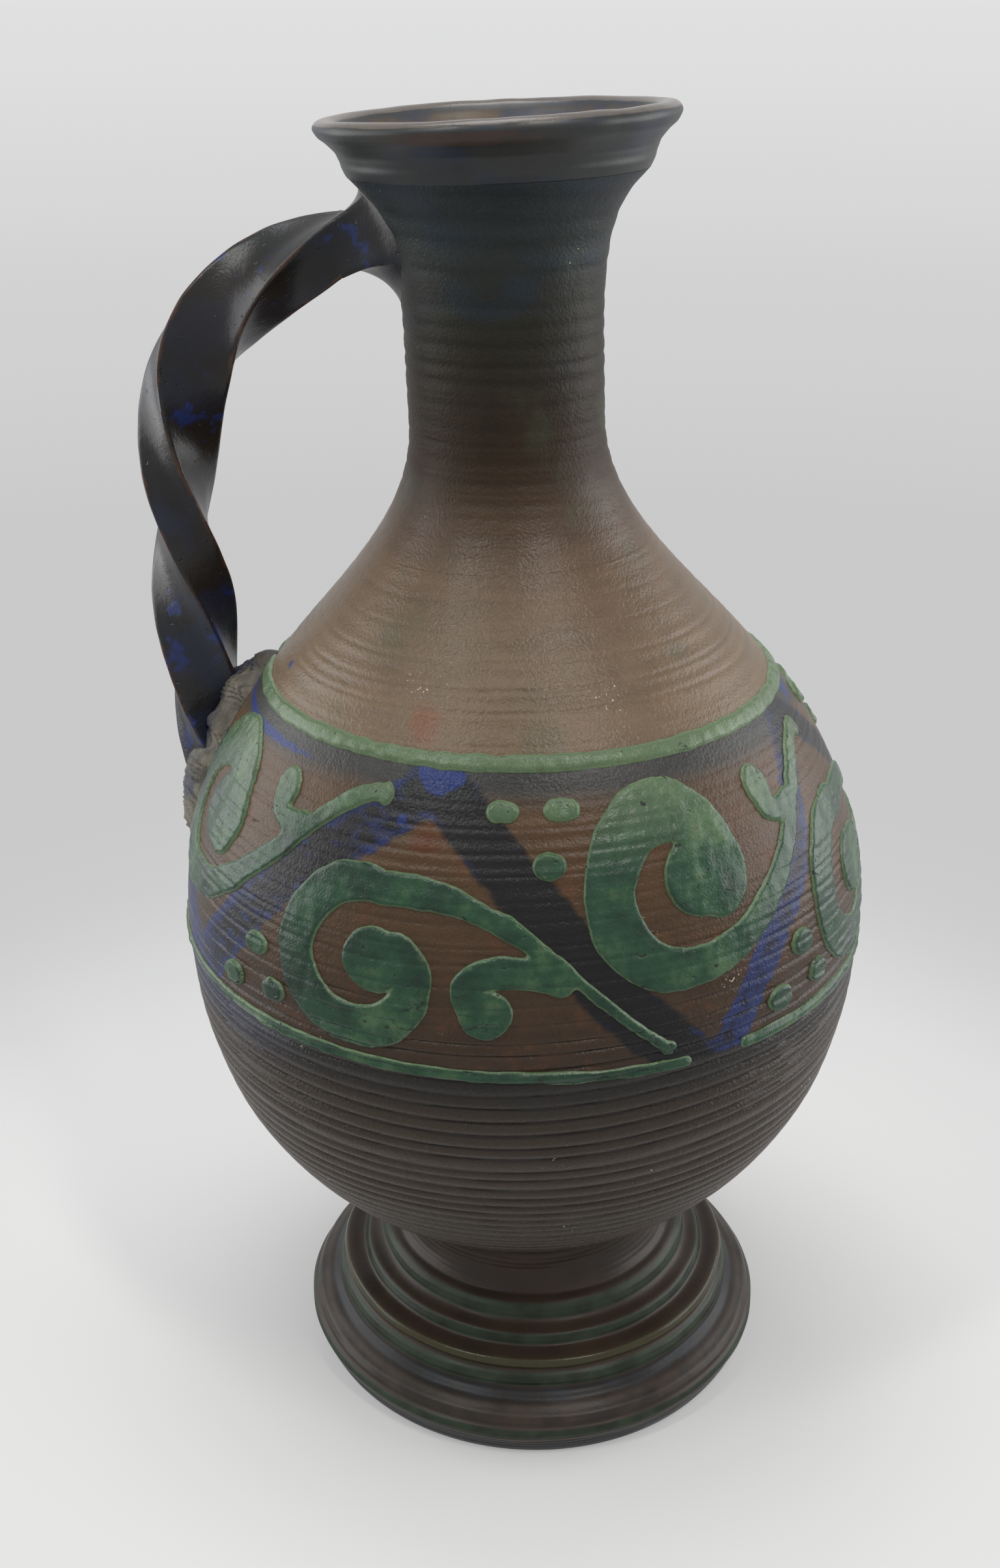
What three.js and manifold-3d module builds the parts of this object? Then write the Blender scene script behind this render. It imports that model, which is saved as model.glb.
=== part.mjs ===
// A thrown ceramic jug with a pedestal foot, a twisted bar handle and trailed slip ornament.
// Millimetres, +Z up. The jug is built upright round the Z axis with its handle towards -X,
// every piece is then leaned by the same bend, and the whole is moved so that the middle of
// its box stands at the origin.
import * as THREE from 'three';
import { mergeVertices } from 'three/addons/utils/BufferGeometryUtils.js';
import Module from 'manifold-3d';

const wasm = await Module();
wasm.setup();

// Walls and joints
const wall = 5.5;
const floorThickness = 7;
const seam = 0.3;
const roundSegments = 36;
const curveSteps = 3;
const bowlRings = 9;
const bowlInnerRings = 6;
const shoulderRings = 9;
const neckRings = 3;
const flareRings = 8;
const roomRings = 24;
const mergeDistance = 1e-4;

// Foot, from the floor up
const footRadius = 67;
const standingWidth = 8.5;
const edgeRound = 3.6;
const edgeHeight = 7;
const edgeGroove = 1.4;
const flangeRise = 3.4;
const outerRingRadius = 56.4;
const outerRingHeight = 4.4;
const beadRadius = 55;
const beadHeight = 4.8;
const middleRingRadius = 49.6;
const middleRingHeight = 3.8;
const collarRingRadius = 43.4;
const collarRingHeight = 6;
const ringGroove = 2;
const ringFace = 0.3;
const ringEase = 0.2;
const cavityReach = 4.2;
const stemRadius = 38;
const stemWaist = 0.9;
const stemHeight = 17;

// Belly, neck and mouth
const bellyRadius = 90.7;
const bowlHeight = 95.6;
const bowlFloorReach = 18;
const bowlFloorRise = 18;
const bowlSideReach = 63.7;
const shoulderHeight = 129.2;
const shoulderReach = 66.8;
const neckRadius = 24.1;
const neckReach = 40.8;
const neckSeamDrop = 29;
const neckHeight = 18.8;
const flareHeight = 39.4;
const flareReach = 30.3;
const flareTurnIn = 5.7;
const flareTurnRise = 6;
const collarRadius = 35.4;
const collarNose = 0.9;
const collarHeight = 5.4;
const lipRadius = 42.7;
const lipHeight = 9.2;
const lipRoll = 5.4;
const lipThickness = 5;
const lipTuck = 2.6;
const lipBulge = 1;

// Handle, with azimuths in degrees from +X
const handleAzimuth = 173;
const padAzimuth = 172;
const handleDrop = 13.2;
const handleInset = 5.4;
const handleTopSlope = 7.7;
const handleTopReach = 44.4;
const handleSideReach = 40;
const handleSide = 65.5;
const handleWide = 18.6;
const handleThick = 13;
const handleHollow = 0.7;
const handleTwist = 2.1;
const handleStart = 70;
const handleFlare = 0.3;
const handleFlareReach = 18;
const handleSteps = 44;
const handleFaceSteps = 2;

// Clay at the ends of the handle
const weldHalfWidth = 11.5;
const weldHalfHeight = 10.4;
const weldThickness = 5;
const padHalfWidth = 16;
const padHalfHeight = 31;
const padThickness = 8;
const padTopSwell = 2.2;
const padRise = 6;
const clayEdge = 0.9;
const clayRoll = 4;
const clayRings = 5;
const claySides = 20;

// Slip ornament: heights are along Z, azimuths and spans are degrees round the belly
const lowerLineDrop = 2.9;
const bandHeight = 67.8;
const upperTilt = 1.6;
const lowerTilt = 4;
const bandTiltAzimuth = 185;
const upperLineWidth = 3.9;
const lowerLineWidth = 3.1;
const lineHeight = 1.3;
const lineSteps = 48;
const fullTurn = 360;
const slipHeight = 1.7;
const slipShoulder = 0.75;
const slipShoulderLift = 0.8;
const upperLineGap = 10;
const lowerLineGap = 11;
const lowerLineGapAzimuth = 301;
const dotWidth = 8;
const dotHeight = 6.4;
const dotSides = 10;
const tipBall = 0.4;
const upperCoil = 17;
const upperStroke = 13.4;
const upperTip = 3.6;
const upperHook = 5.2;
const upperBall = 9.2;
const upperHookBall = 4.6;
const lowerCoil = 17.2;
const lowerStroke = 10.7;
const lowerTip = 2.6;
const lowerHook = 7.4;
const lowerBall = 7.8;
const lowerHookBall = 6.1;
const strokeTaper = 0.5;
const curlThinning = 0.3;
const curlStart = 0.7;
const curlDepth = 0.68;
const upperCoilStart = -80;
const upperCoilSweep = -330;
const upperCoilFall = 6;
const lowerCoilStart = 75;
const lowerCoilSweep = 325;
const lowerCoilFall = 5;
const coilSteps = 20;
const tailSteps = 8;
const hookSteps = 6;
const upperScrollAzimuths = [203, 299, 33.5, 122];
const lowerScrollAzimuths = [254, 348, 78.5];
const upperDotAzimuths = [299, 33.5, 122];
const lowerDotAzimuths = [254, 348, 78.5, 173];

// Where the strokes run, as degrees and heights from a scroll's own place on the band
const upperTail = [[43, 26], [31, 28], [15, -11]];
const upperCentre = [-2.3, 6.2];
const upperCurl = [1.6, 8.2];
const upperHookLine = [[27, 16], [22, 14], [18, 17], [20.5, 21.5]];
const lowerTail = [[38.5, -29.2], [25, -12], [16.5, 11.5]];
const lowerCentre = [-8.5, -9.1];
const lowerCurl = [-5.8, -8.4];
const lowerHookLine = [[22.5, -10], [12, -3], [4, -13.5], [11.5, -18]];
const upperDotPlaces = [[-30.5, 25], [-20, 25], [-23, 14.5]];
const lowerDotPlaces = [[-28.5, -14.5], [-34.5, -26], [-24.5, -24.5]];

// The pot was set a little askew on its foot: the stem bends by this angle, towards this azimuth
const lean = 2.1;
const leanAzimuth = 164;

// Colours and roughness of the glazes
const footBrown = [0x3a3128, 0.4];
const bowlBrown = [0x4a4036, 0.5];
const shoulderBrown = [0x5f4b39, 0.45];
const neckOlive = [0x3d372e, 0.5];
const mouthBlack = [0x2b2d2e, 0.35];
const handleNavy = [0x22222b, 0.4];
const padGrey = [0x3c3830, 0.6];
const slipGreen = [0x4b7855, 0.35];

// Heights that follow from the sizes above
const zFlange = edgeHeight + flangeRise;
const zBead = zFlange + outerRingHeight;
const zMiddleRing = zBead + beadHeight;
const zCollarRing = zMiddleRing + middleRingHeight;
const zStem = zCollarRing + collarRingHeight;
const zFoot = zStem + stemHeight;
const zBelly = zFoot + bowlHeight;
const zNeck = zBelly + shoulderHeight;
const zNeckSeam = zNeck - neckSeamDrop;
const zFlare = zNeck + neckHeight;
const zMouth = zFlare + flareHeight;
const zTop = zMouth + collarHeight + lipHeight;
const zLowerLine = zBelly - lowerLineDrop;
const zUpperLine = zLowerLine + bandHeight;
const zBand = (zLowerLine + zUpperLine) / 2;

const at = (r, z) => new THREE.Vector2(r, z);
const turn = THREE.MathUtils.degToRad;

// Outside of the pot above the foot, as three smooth curves of radius against height
const bowlCurve = new THREE.CubicBezierCurve(
  at(stemRadius, zFoot),
  at(stemRadius + bowlFloorReach, zFoot + bowlFloorRise),
  at(bellyRadius, zBelly - bowlSideReach),
  at(bellyRadius, zBelly),
);
const shoulderCurve = new THREE.CubicBezierCurve(
  at(bellyRadius, zBelly),
  at(bellyRadius, zBelly + shoulderReach),
  at(neckRadius, zNeck - neckReach),
  at(neckRadius, zNeck),
);
const flareCurve = new THREE.CubicBezierCurve(
  at(neckRadius, zFlare),
  at(neckRadius, zFlare + flareReach),
  at(collarRadius - flareTurnIn, zMouth - flareTurnRise),
  at(collarRadius, zMouth),
);

const halvings = 40;
function curveAt(curve, z) {
  let low = 0;
  let high = 1;
  for (let i = 0; i < halvings; i += 1) {
    const middle = (low + high) / 2;
    if (curve.getPoint(middle).y < z) low = middle;
    else high = middle;
  }
  return curve.getPoint((low + high) / 2).x;
}

function outsideRadius(z) {
  if (z < zBelly) return curveAt(bowlCurve, Math.max(z, zFoot));
  if (z < zNeck) return curveAt(shoulderCurve, z);
  if (z < zFlare) return neckRadius;
  return curveAt(flareCurve, Math.min(z, zMouth));
}

// Change of the outside radius with height, taken over a short step
function outsideSlope(z) {
  const step = 0.5;
  return (outsideRadius(z + step) - outsideRadius(z - step)) / (2 * step);
}

function insideRadius(z) {
  return outsideRadius(z) - wall * Math.hypot(1, outsideSlope(z));
}

// A point at a lift above the outside of the pot, square to its surface
function onPot(azimuth, z, lift) {
  const slope = outsideSlope(z);
  const length = Math.hypot(1, slope);
  const radius = outsideRadius(z) + lift / length;
  return new THREE.Vector3(
    radius * Math.cos(azimuth),
    radius * Math.sin(azimuth),
    z - (lift * slope) / length,
  );
}

// Solids
function toSolid(geometry) {
  const plain = geometry.clone();
  plain.deleteAttribute('normal');
  plain.deleteAttribute('uv');
  const merged = mergeVertices(plain, mergeDistance);
  return new wasm.Manifold(new wasm.Mesh({
    numProp: 3,
    vertProperties: new Float32Array(merged.attributes.position.array),
    triVerts: new Uint32Array(merged.index.array),
  }));
}

function toGeometry(solid) {
  const mesh = solid.getMesh();
  const geometry = new THREE.BufferGeometry();
  geometry.setAttribute('position', new THREE.BufferAttribute(mesh.vertProperties, 3));
  geometry.setIndex(new THREE.BufferAttribute(mesh.triVerts, 1));
  return geometry;
}

function revolve(points) {
  return new THREE.LatheGeometry(points, roundSegments).rotateX(Math.PI / 2);
}

// Moves every vertex of a geometry by a function of its place
function reshape(geometry, move) {
  const position = geometry.attributes.position;
  const point = new THREE.Vector3();
  for (let i = 0; i < position.count; i += 1) {
    const moved = move(point.fromBufferAttribute(position, i));
    position.setXYZ(i, moved.x, moved.y, moved.z);
  }
  return geometry;
}

// A closed skin over rings of points, with a flat fan at each end
function loft(rings) {
  const sides = rings[0].length;
  const positions = rings.flat().flatMap((p) => [p.x, p.y, p.z]);
  const index = [];
  for (let i = 0; i + 1 < rings.length; i += 1) {
    for (let j = 0; j < sides; j += 1) {
      const a = i * sides + j;
      const b = i * sides + ((j + 1) % sides);
      index.push(a, b, b + sides, a, b + sides, a + sides);
    }
  }
  const last = (rings.length - 1) * sides;
  for (let j = 1; j + 1 < sides; j += 1) {
    index.push(0, j + 1, j);
    index.push(last, last + j, last + j + 1);
  }
  const geometry = new THREE.BufferGeometry();
  geometry.setAttribute('position', new THREE.Float32BufferAttribute(positions, 3));
  geometry.setIndex(index);
  return geometry;
}

// Leans a piece: the stem bends along one circular arc, and all above it goes straight on
const bendRadius = stemHeight / turn(lean);
function leaned(geometry) {
  const upright = geometry.rotateZ(-turn(leanAzimuth));
  const bent = reshape(upright, (p) => {
    const rise = THREE.MathUtils.clamp(p.z - zStem, 0, stemHeight);
    const angle = rise / bendRadius;
    const reach = bendRadius - p.x;
    const beyond = p.z - zStem - rise;
    const across = bendRadius - reach * Math.cos(angle) + beyond * Math.sin(angle);
    return p.set(across, p.y, zStem + reach * Math.sin(angle) + beyond * Math.cos(angle));
  });
  return bent.rotateZ(turn(leanAzimuth));
}

// Foot: ring mouldings outside, one smooth cavity inside
function footGeometry() {
  const cavity = new THREE.QuadraticBezierCurve(
    at(stemRadius - wall, zFoot - seam),
    at(stemRadius - wall + cavityReach, zFoot / 2),
    at(footRadius - standingWidth, 0),
  );
  const outline = new THREE.Path();
  outline.moveTo(footRadius - standingWidth, 0);
  outline.lineTo(footRadius - edgeRound, 0);
  outline.lineTo(footRadius, edgeRound);
  outline.lineTo(footRadius, edgeHeight - edgeGroove / 2);
  outline.lineTo(footRadius - edgeGroove, edgeHeight);
  outline.quadraticCurveTo(footRadius - edgeGroove, zFlange, outerRingRadius + ringGroove, zFlange);
  outline.lineTo(outerRingRadius, zFlange + outerRingHeight * ringFace);
  outline.lineTo(outerRingRadius - ringGroove / 3, zBead - outerRingHeight * ringEase);
  outline.lineTo(outerRingRadius - ringGroove, zBead);
  outline.quadraticCurveTo(beadRadius + ringGroove, zBead + beadHeight / 2,
    beadRadius - ringGroove, zMiddleRing - (beadHeight * ringEase) / 2);
  outline.lineTo(middleRingRadius, zMiddleRing);
  outline.lineTo(middleRingRadius, zMiddleRing + middleRingHeight * ringFace);
  outline.lineTo(middleRingRadius - ringGroove, zCollarRing - middleRingHeight * ringEase);
  outline.lineTo(collarRingRadius, zCollarRing);
  outline.lineTo(collarRingRadius, zCollarRing + collarRingHeight * ringFace);
  outline.lineTo(collarRingRadius - ringGroove, zStem - collarRingHeight * ringEase);
  outline.lineTo(stemRadius + ringGroove, zStem);
  outline.quadraticCurveTo(stemRadius - stemWaist * 2, zStem + stemHeight / 2, stemRadius, zFoot - seam);
  const points = outline.getPoints(curveSteps);
  points.push(...cavity.getPoints(curveSteps));
  return revolve(points);
}

// Heights of the rings along a wall
function levels(from, to, count) {
  return Array.from({ length: count + 1 }, (_, i) => from + ((to - from) * i) / count);
}

function bowlGeometry() {
  const outer = bowlCurve.getPoints(bowlRings);
  outer[outer.length - 1].y -= seam;
  const inner = levels(zFoot + floorThickness + wall, zBelly - seam, bowlInnerRings)
    .map((z) => at(insideRadius(z), z))
    .reverse();
  return revolve([at(0, zFoot), ...outer, ...inner, at(0, zFoot + floorThickness)]);
}

// A length of the pot's wall, open above and below
function wallGeometry(heights) {
  const outer = heights.map((z) => at(outsideRadius(z), z));
  const innerHeights = heights.filter((_, i) => i % 2 === 0 || i === heights.length - 1);
  const inner = innerHeights.map((z) => at(insideRadius(z), z)).reverse();
  return revolve([...outer, ...inner, outer[0]]);
}

function mouthGeometry() {
  const zLip = zTop - lipHeight;
  const insideFoot = insideRadius(zMouth);
  const outline = new THREE.Path();
  outline.moveTo(insideFoot, zMouth);
  outline.lineTo(collarRadius, zMouth);
  outline.lineTo(collarRadius + collarNose, zMouth + collarNose);
  outline.quadraticCurveTo(collarRadius + collarNose, zLip, lipRadius - lipTuck, zTop - lipRoll);
  outline.quadraticCurveTo(lipRadius + lipBulge, zTop - lipRoll / 2, lipRadius - lipBulge, zTop - lipBulge);
  outline.quadraticCurveTo(lipRadius - lipThickness / 2, zTop + lipBulge,
    lipRadius - lipThickness, zTop - lipBulge * 2);
  outline.quadraticCurveTo(collarRadius - wall / 2, zLip, insideFoot, zMouth);
  return revolve(outline.getPoints(curveSteps));
}

// Handle: a hollow-faced bar, twisted evenly along a path from the neck to the belly
const zHandleTop = zMouth - handleDrop;
const handleRadius = bellyRadius - handleInset;
const zHandleSide = zHandleTop - handleSide;

// Height on the shoulder where its outside has a given radius
function shoulderHeightAt(radius) {
  let low = zBelly;
  let high = zNeck;
  for (let i = 0; i < halvings; i += 1) {
    const middle = (low + high) / 2;
    if (outsideRadius(middle) > radius) low = middle;
    else high = middle;
  }
  return (low + high) / 2;
}
const zPad = shoulderHeightAt(handleRadius) + padRise;

function handlePath() {
  const landing = outsideRadius(zPad);
  const bend = new THREE.CubicBezierCurve(
    at(neckRadius + wall / 2, zHandleTop),
    at(neckRadius + handleTopReach, zHandleTop - handleTopSlope),
    at(handleRadius, zHandleSide + handleSideReach),
    at(handleRadius, zHandleSide),
  );
  const drop = zHandleSide - zPad;
  const fall = new THREE.CubicBezierCurve(
    at(handleRadius, zHandleSide),
    at(handleRadius, zHandleSide - drop / 3),
    at(handleRadius, zPad + drop / 4),
    at(landing - wall / 2, zPad - wall / 2),
  );
  const path = new THREE.CurvePath();
  path.add(bend);
  path.add(fall);
  return path;
}

// The bar's section: four arrises joined by faces that are hollowed a little
function barShape() {
  const halfWide = handleWide / 2;
  const halfThick = handleThick / 2;
  const shape = new THREE.Shape();
  shape.moveTo(halfWide, -halfThick);
  shape.quadraticCurveTo(halfWide - handleHollow * 2, 0, halfWide, halfThick);
  shape.quadraticCurveTo(0, halfThick - handleHollow * 2, -halfWide, halfThick);
  shape.quadraticCurveTo(-halfWide + handleHollow * 2, 0, -halfWide, -halfThick);
  shape.quadraticCurveTo(0, -halfThick + handleHollow * 2, halfWide, -halfThick);
  return shape;
}

function handleSolid() {
  const path = handlePath();
  const length = path.getLength();
  const bar = new THREE.ExtrudeGeometry(barShape(), {
    depth: 1, steps: handleSteps, bevelEnabled: false, curveSegments: handleFaceSteps,
  });
  reshape(bar, (p) => {
    const along = Math.min(Math.max(p.z, 0), 1);
    const place = path.getPointAt(along);
    const ahead = path.getTangentAt(along);
    const angle = turn(handleStart + handleTwist * along * length);
    const flare = 1 + handleFlare * Math.max(1 - (along * length) / handleFlareReach, 0);
    const outward = (p.x * Math.cos(angle) + p.y * Math.sin(angle)) * flare;
    const nearward = (p.x * Math.sin(angle) - p.y * Math.cos(angle)) * flare;
    return p.set(place.x - outward * ahead.y, nearward, place.y + outward * ahead.x);
  });
  return toSolid(bar.rotateZ(turn(handleAzimuth)));
}

// A patch of clay pressed on the pot: a lens with its own thickness over an oval
function clayPatch({ azimuth, z, halfWidth, halfHeight, thickness, grow }) {
  const rings = clayRings;
  const sides = claySides;
  const positions = [];
  const addPoint = (share, side, lift) => {
    const angle = (side / sides) * 2 * Math.PI;
    const up = share * Math.sin(angle);
    const across = share * Math.cos(angle);
    const height = z + up * (halfHeight + grow);
    const spread = (across * (halfWidth + grow)) / outsideRadius(z);
    const point = onPot(azimuth + spread, height, lift(share, up));
    positions.push(point.x, point.y, point.z);
  };
  const outside = (share, up) => clayEdge + grow + thickness(up) * (1 - share ** clayRoll);
  const inside = () => seam - grow * 2;
  addPoint(0, 0, outside);
  for (let k = 1; k <= rings; k += 1) {
    for (let j = 0; j < sides; j += 1) addPoint(k / rings, j, outside);
  }
  for (let k = rings; k >= 1; k -= 1) {
    for (let j = 0; j < sides; j += 1) addPoint(k / rings, j, inside);
  }
  addPoint(0, 0, inside);
  const index = [];
  const bands = 2 * rings;
  const tip = 1 + bands * sides;
  for (let j = 0; j < sides; j += 1) {
    const next = (j + 1) % sides;
    index.push(0, 1 + j, 1 + next);
    for (let k = 0; k + 1 < bands; k += 1) {
      const a = 1 + k * sides + j;
      const b = 1 + k * sides + next;
      index.push(a, b + sides, b, a, a + sides, b + sides);
    }
    const lastRing = 1 + (bands - 1) * sides;
    index.push(tip, lastRing + next, lastRing + j);
  }
  const geometry = new THREE.BufferGeometry();
  geometry.setAttribute('position', new THREE.Float32BufferAttribute(positions, 3));
  geometry.setIndex(index);
  return geometry;
}

const weldPatch = (grow) => clayPatch({
  azimuth: turn(handleAzimuth),
  z: zHandleTop,
  halfWidth: weldHalfWidth,
  halfHeight: weldHalfHeight,
  thickness: () => weldThickness,
  grow,
});
const padPatch = (grow) => clayPatch({
  azimuth: turn(padAzimuth),
  z: zPad,
  halfWidth: padHalfWidth,
  halfHeight: padHalfHeight,
  thickness: (up) => padThickness + padTopSwell * up,
  grow,
});

// What lies against the clay or the pot stops short of it by the width of a seam
const weldRoom = toSolid(weldPatch(seam));
const padRoom = toSolid(padPatch(seam));
function potRoom() {
  const outside = levels(zFoot, zMouth, roomRings).map((z) => at(outsideRadius(z) + seam * 2, z));
  return toSolid(revolve([at(0, zFoot), ...outside, at(0, zMouth)]));
}

function largest(solid) {
  const pieces = solid.decompose();
  pieces.sort((a, b) => b.volume() - a.volume());
  return pieces[0];
}

function handleGeometry() {
  return toGeometry(largest(handleSolid().subtract(weldRoom).subtract(padRoom).subtract(potRoom())));
}

// Slip strokes are drawn flat, in millimetres along the band's middle and up, then laid on the pot
const patternRadius = outsideRadius(zBand);
const onBand = ([degrees, height]) => at(turn(degrees) * patternRadius, height);

function laidOnPot(solid, azimuth) {
  const geometry = toGeometry(solid);
  reshape(geometry, (p) => {
    const angle = turn(azimuth) + p.x / patternRadius;
    const tilt = THREE.MathUtils.lerp(lowerTilt, upperTilt, (zBand + p.y - zLowerLine) / bandHeight);
    const swing = tilt * Math.cos(angle - turn(bandTiltAzimuth));
    return p.copy(onPot(angle, zBand + swing + p.y, seam + p.z));
  });
  return leaned(toGeometry(largest(toSolid(geometry).subtract(padRoom))));
}

// A stroke of slip along flat points, domed across, with a half width for each share of its length
function stroke(points, halfWidth, height) {
  const rings = points.map((point, i) => {
    const before = points[Math.max(i - 1, 0)];
    const after = points[Math.min(i + 1, points.length - 1)];
    const side = after.clone().sub(before).normalize().rotateAround(at(0, 0), Math.PI / 2);
    const half = halfWidth(i / (points.length - 1));
    const corner = (share, lift) => new THREE.Vector3(
      point.x + side.x * half * share,
      point.y + side.y * half * share,
      height * lift,
    );
    return [
      corner(1, 0),
      corner(slipShoulder, slipShoulderLift),
      corner(0, 1),
      corner(-slipShoulder, slipShoulderLift),
      corner(-1, 0),
    ];
  });
  return toSolid(loft(rings));
}

function drop(centre, width, height) {
  const profile = [
    at(0, 0),
    at(1, 0),
    at(slipShoulder, slipHeight * slipShoulderLift),
    at(0, slipHeight),
  ];
  const dome = new THREE.LatheGeometry(profile, dotSides).rotateX(Math.PI / 2);
  return toSolid(dome.scale(width / 2, height / 2, 1).translate(centre.x, centre.y, 0));
}

// A coil that keeps its reach for most of its sweep, then drops in to its ball
function coil({ centre, curl, radius, start, sweep, fall }) {
  return Array.from({ length: coilSteps + 1 }, (_, i) => {
    const share = i / coilSteps;
    const drawn = share ** fall;
    const reach = radius * (1 - curlDepth * drawn);
    const angle = turn(start + sweep * share);
    const middle = onBand(centre).lerp(onBand(curl), drawn);
    return at(middle.x + reach * Math.cos(angle), middle.y + reach * Math.sin(angle));
  });
}

// Half the width of a scroll's stroke: thin at the tip of the tail, full round the coil, less in its curl
function scrollHalfWidth(tipWidth, fullWidth) {
  const { smoothstep, lerp } = THREE.MathUtils;
  return (share) => {
    const full = lerp(tipWidth, fullWidth, smoothstep(share, 0, strokeTaper));
    return (full / 2) * (1 - curlThinning * smoothstep(share, curlStart, 1));
  };
}

function scroll({ tail, coilShape, tipWidth, fullWidth, ball, hook, hookWidth, hookBall }) {
  const curl = coil(coilShape);
  const tailCurve = new THREE.CubicBezierCurve(...tail.map(onBand), curl[0]);
  const line = [...tailCurve.getPoints(tailSteps).slice(0, -1), ...curl];
  const hookLine = new THREE.CubicBezierCurve(...hook.map(onBand)).getPoints(hookSteps);
  const tip = tipWidth + tipBall * 2;
  return stroke(line, scrollHalfWidth(tipWidth, fullWidth), slipHeight)
    .add(drop(line[0], tip, tip))
    .add(drop(onBand(coilShape.curl), ball * 2, ball * 2))
    .add(stroke(hookLine, () => hookWidth / 2, slipHeight))
    .add(drop(hookLine[hookLine.length - 1], hookBall * 2, hookBall * 2));
}

// The scroll below the upper line: its tail climbs to the right and carries a small hook
const upperScroll = scroll({
  tail: upperTail,
  coilShape: {
    centre: upperCentre,
    curl: upperCurl,
    radius: upperCoil,
    start: upperCoilStart,
    sweep: upperCoilSweep,
    fall: upperCoilFall,
  },
  tipWidth: upperTip,
  fullWidth: upperStroke,
  ball: upperBall,
  hook: upperHookLine,
  hookWidth: upperHook,
  hookBall: upperHookBall,
});

// The scroll above the lower line: its tail falls to the right and the hook curls under it
const lowerScroll = scroll({
  tail: lowerTail,
  coilShape: {
    centre: lowerCentre,
    curl: lowerCurl,
    radius: lowerCoil,
    start: lowerCoilStart,
    sweep: lowerCoilSweep,
    fall: lowerCoilFall,
  },
  tipWidth: lowerTip,
  fullWidth: lowerStroke,
  ball: lowerBall,
  hook: lowerHookLine,
  hookWidth: lowerHook,
  hookBall: lowerHookBall,
});

// A dot keeps its width and height on the pot, whatever the radius and slope where it lies
function dot(place) {
  const centre = onBand(place);
  const z = zBand + centre.y;
  const width = (dotWidth * patternRadius) / outsideRadius(z);
  return drop(centre, width, dotHeight / Math.hypot(1, outsideSlope(z)));
}

// A border line: an open arc with a gap centred on one azimuth
function borderLine(z, width, gapAzimuth, gap) {
  const span = fullTurn - gap;
  const points = levels(0, span, lineSteps).map((degrees) => onBand([degrees, z - zBand]));
  const line = stroke(points, () => width / 2, lineHeight);
  return laidOnPot(line, gapAzimuth + gap / 2);
}

// Finishes
const glaze = ([color, roughness]) => new THREE.MeshStandardMaterial({ color, roughness, metalness: 0 });
const jug = new THREE.Group();
function addPiece(name, geometry, finish) {
  geometry.computeVertexNormals();
  const mesh = new THREE.Mesh(geometry, glaze(finish));
  mesh.name = name;
  jug.add(mesh);
}

addPiece('pedestal_foot', leaned(footGeometry()), footBrown);
addPiece('lower_bowl', leaned(bowlGeometry()), bowlBrown);
const shoulderLevels = levels(zBelly, zNeckSeam - seam, shoulderRings);
const neckLevels = [...levels(zNeckSeam, zNeck, neckRings), ...levels(zFlare, zMouth - seam, flareRings)];
addPiece('shoulder', leaned(wallGeometry(shoulderLevels)), shoulderBrown);
addPiece('neck', leaned(wallGeometry(neckLevels)), neckOlive);
addPiece('mouth', leaned(mouthGeometry()), mouthBlack);
addPiece('handle', leaned(handleGeometry()), handleNavy);
addPiece('upper_handle_weld', leaned(weldPatch(0)), handleNavy);
addPiece('lower_handle_pad', leaned(padPatch(0)), padGrey);

const upperLine = borderLine(zUpperLine, upperLineWidth, padAzimuth, upperLineGap);
addPiece('upper_slip_line', upperLine, slipGreen);
const lowerLine = borderLine(zLowerLine, lowerLineWidth, lowerLineGapAzimuth, lowerLineGap);
addPiece('lower_slip_line', lowerLine, slipGreen);
upperScrollAzimuths.forEach((azimuth, i) => {
  addPiece(`upper_scroll_${i + 1}`, laidOnPot(upperScroll, azimuth), slipGreen);
});
lowerScrollAzimuths.forEach((azimuth, i) => {
  addPiece(`lower_scroll_${i + 1}`, laidOnPot(lowerScroll, azimuth), slipGreen);
});
let dotCount = 0;
function addDots(azimuths, places) {
  for (const azimuth of azimuths) {
    for (const place of places) {
      dotCount += 1;
      addPiece(`slip_dot_${dotCount}`, laidOnPot(dot(place), azimuth), slipGreen);
    }
  }
}
addDots(upperDotAzimuths, upperDotPlaces);
addDots(lowerDotAzimuths, lowerDotPlaces);

// The middle of the jug's box stands at the origin
const middle = new THREE.Box3().setFromObject(jug).getCenter(new THREE.Vector3());
jug.position.set(-middle.x, -middle.y, 0);

export default jug;
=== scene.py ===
"""A thrown ceramic jug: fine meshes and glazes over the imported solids, at rest on a pale floor."""
import math

import bpy
import numpy as np
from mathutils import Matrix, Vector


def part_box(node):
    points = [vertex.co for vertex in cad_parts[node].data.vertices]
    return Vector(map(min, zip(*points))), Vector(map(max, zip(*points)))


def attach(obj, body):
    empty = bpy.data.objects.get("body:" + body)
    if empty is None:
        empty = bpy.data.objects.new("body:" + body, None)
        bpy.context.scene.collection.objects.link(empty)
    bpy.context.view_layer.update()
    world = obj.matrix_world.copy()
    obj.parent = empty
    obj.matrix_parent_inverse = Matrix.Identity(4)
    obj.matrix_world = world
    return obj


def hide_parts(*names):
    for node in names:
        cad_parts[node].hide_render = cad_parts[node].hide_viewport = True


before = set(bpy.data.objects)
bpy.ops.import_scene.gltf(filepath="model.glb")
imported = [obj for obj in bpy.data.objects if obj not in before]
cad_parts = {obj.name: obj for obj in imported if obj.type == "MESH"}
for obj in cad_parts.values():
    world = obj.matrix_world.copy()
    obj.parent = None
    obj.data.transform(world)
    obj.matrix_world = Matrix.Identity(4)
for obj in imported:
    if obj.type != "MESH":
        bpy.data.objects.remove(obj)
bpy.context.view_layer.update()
scene = bpy.context.scene

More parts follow.
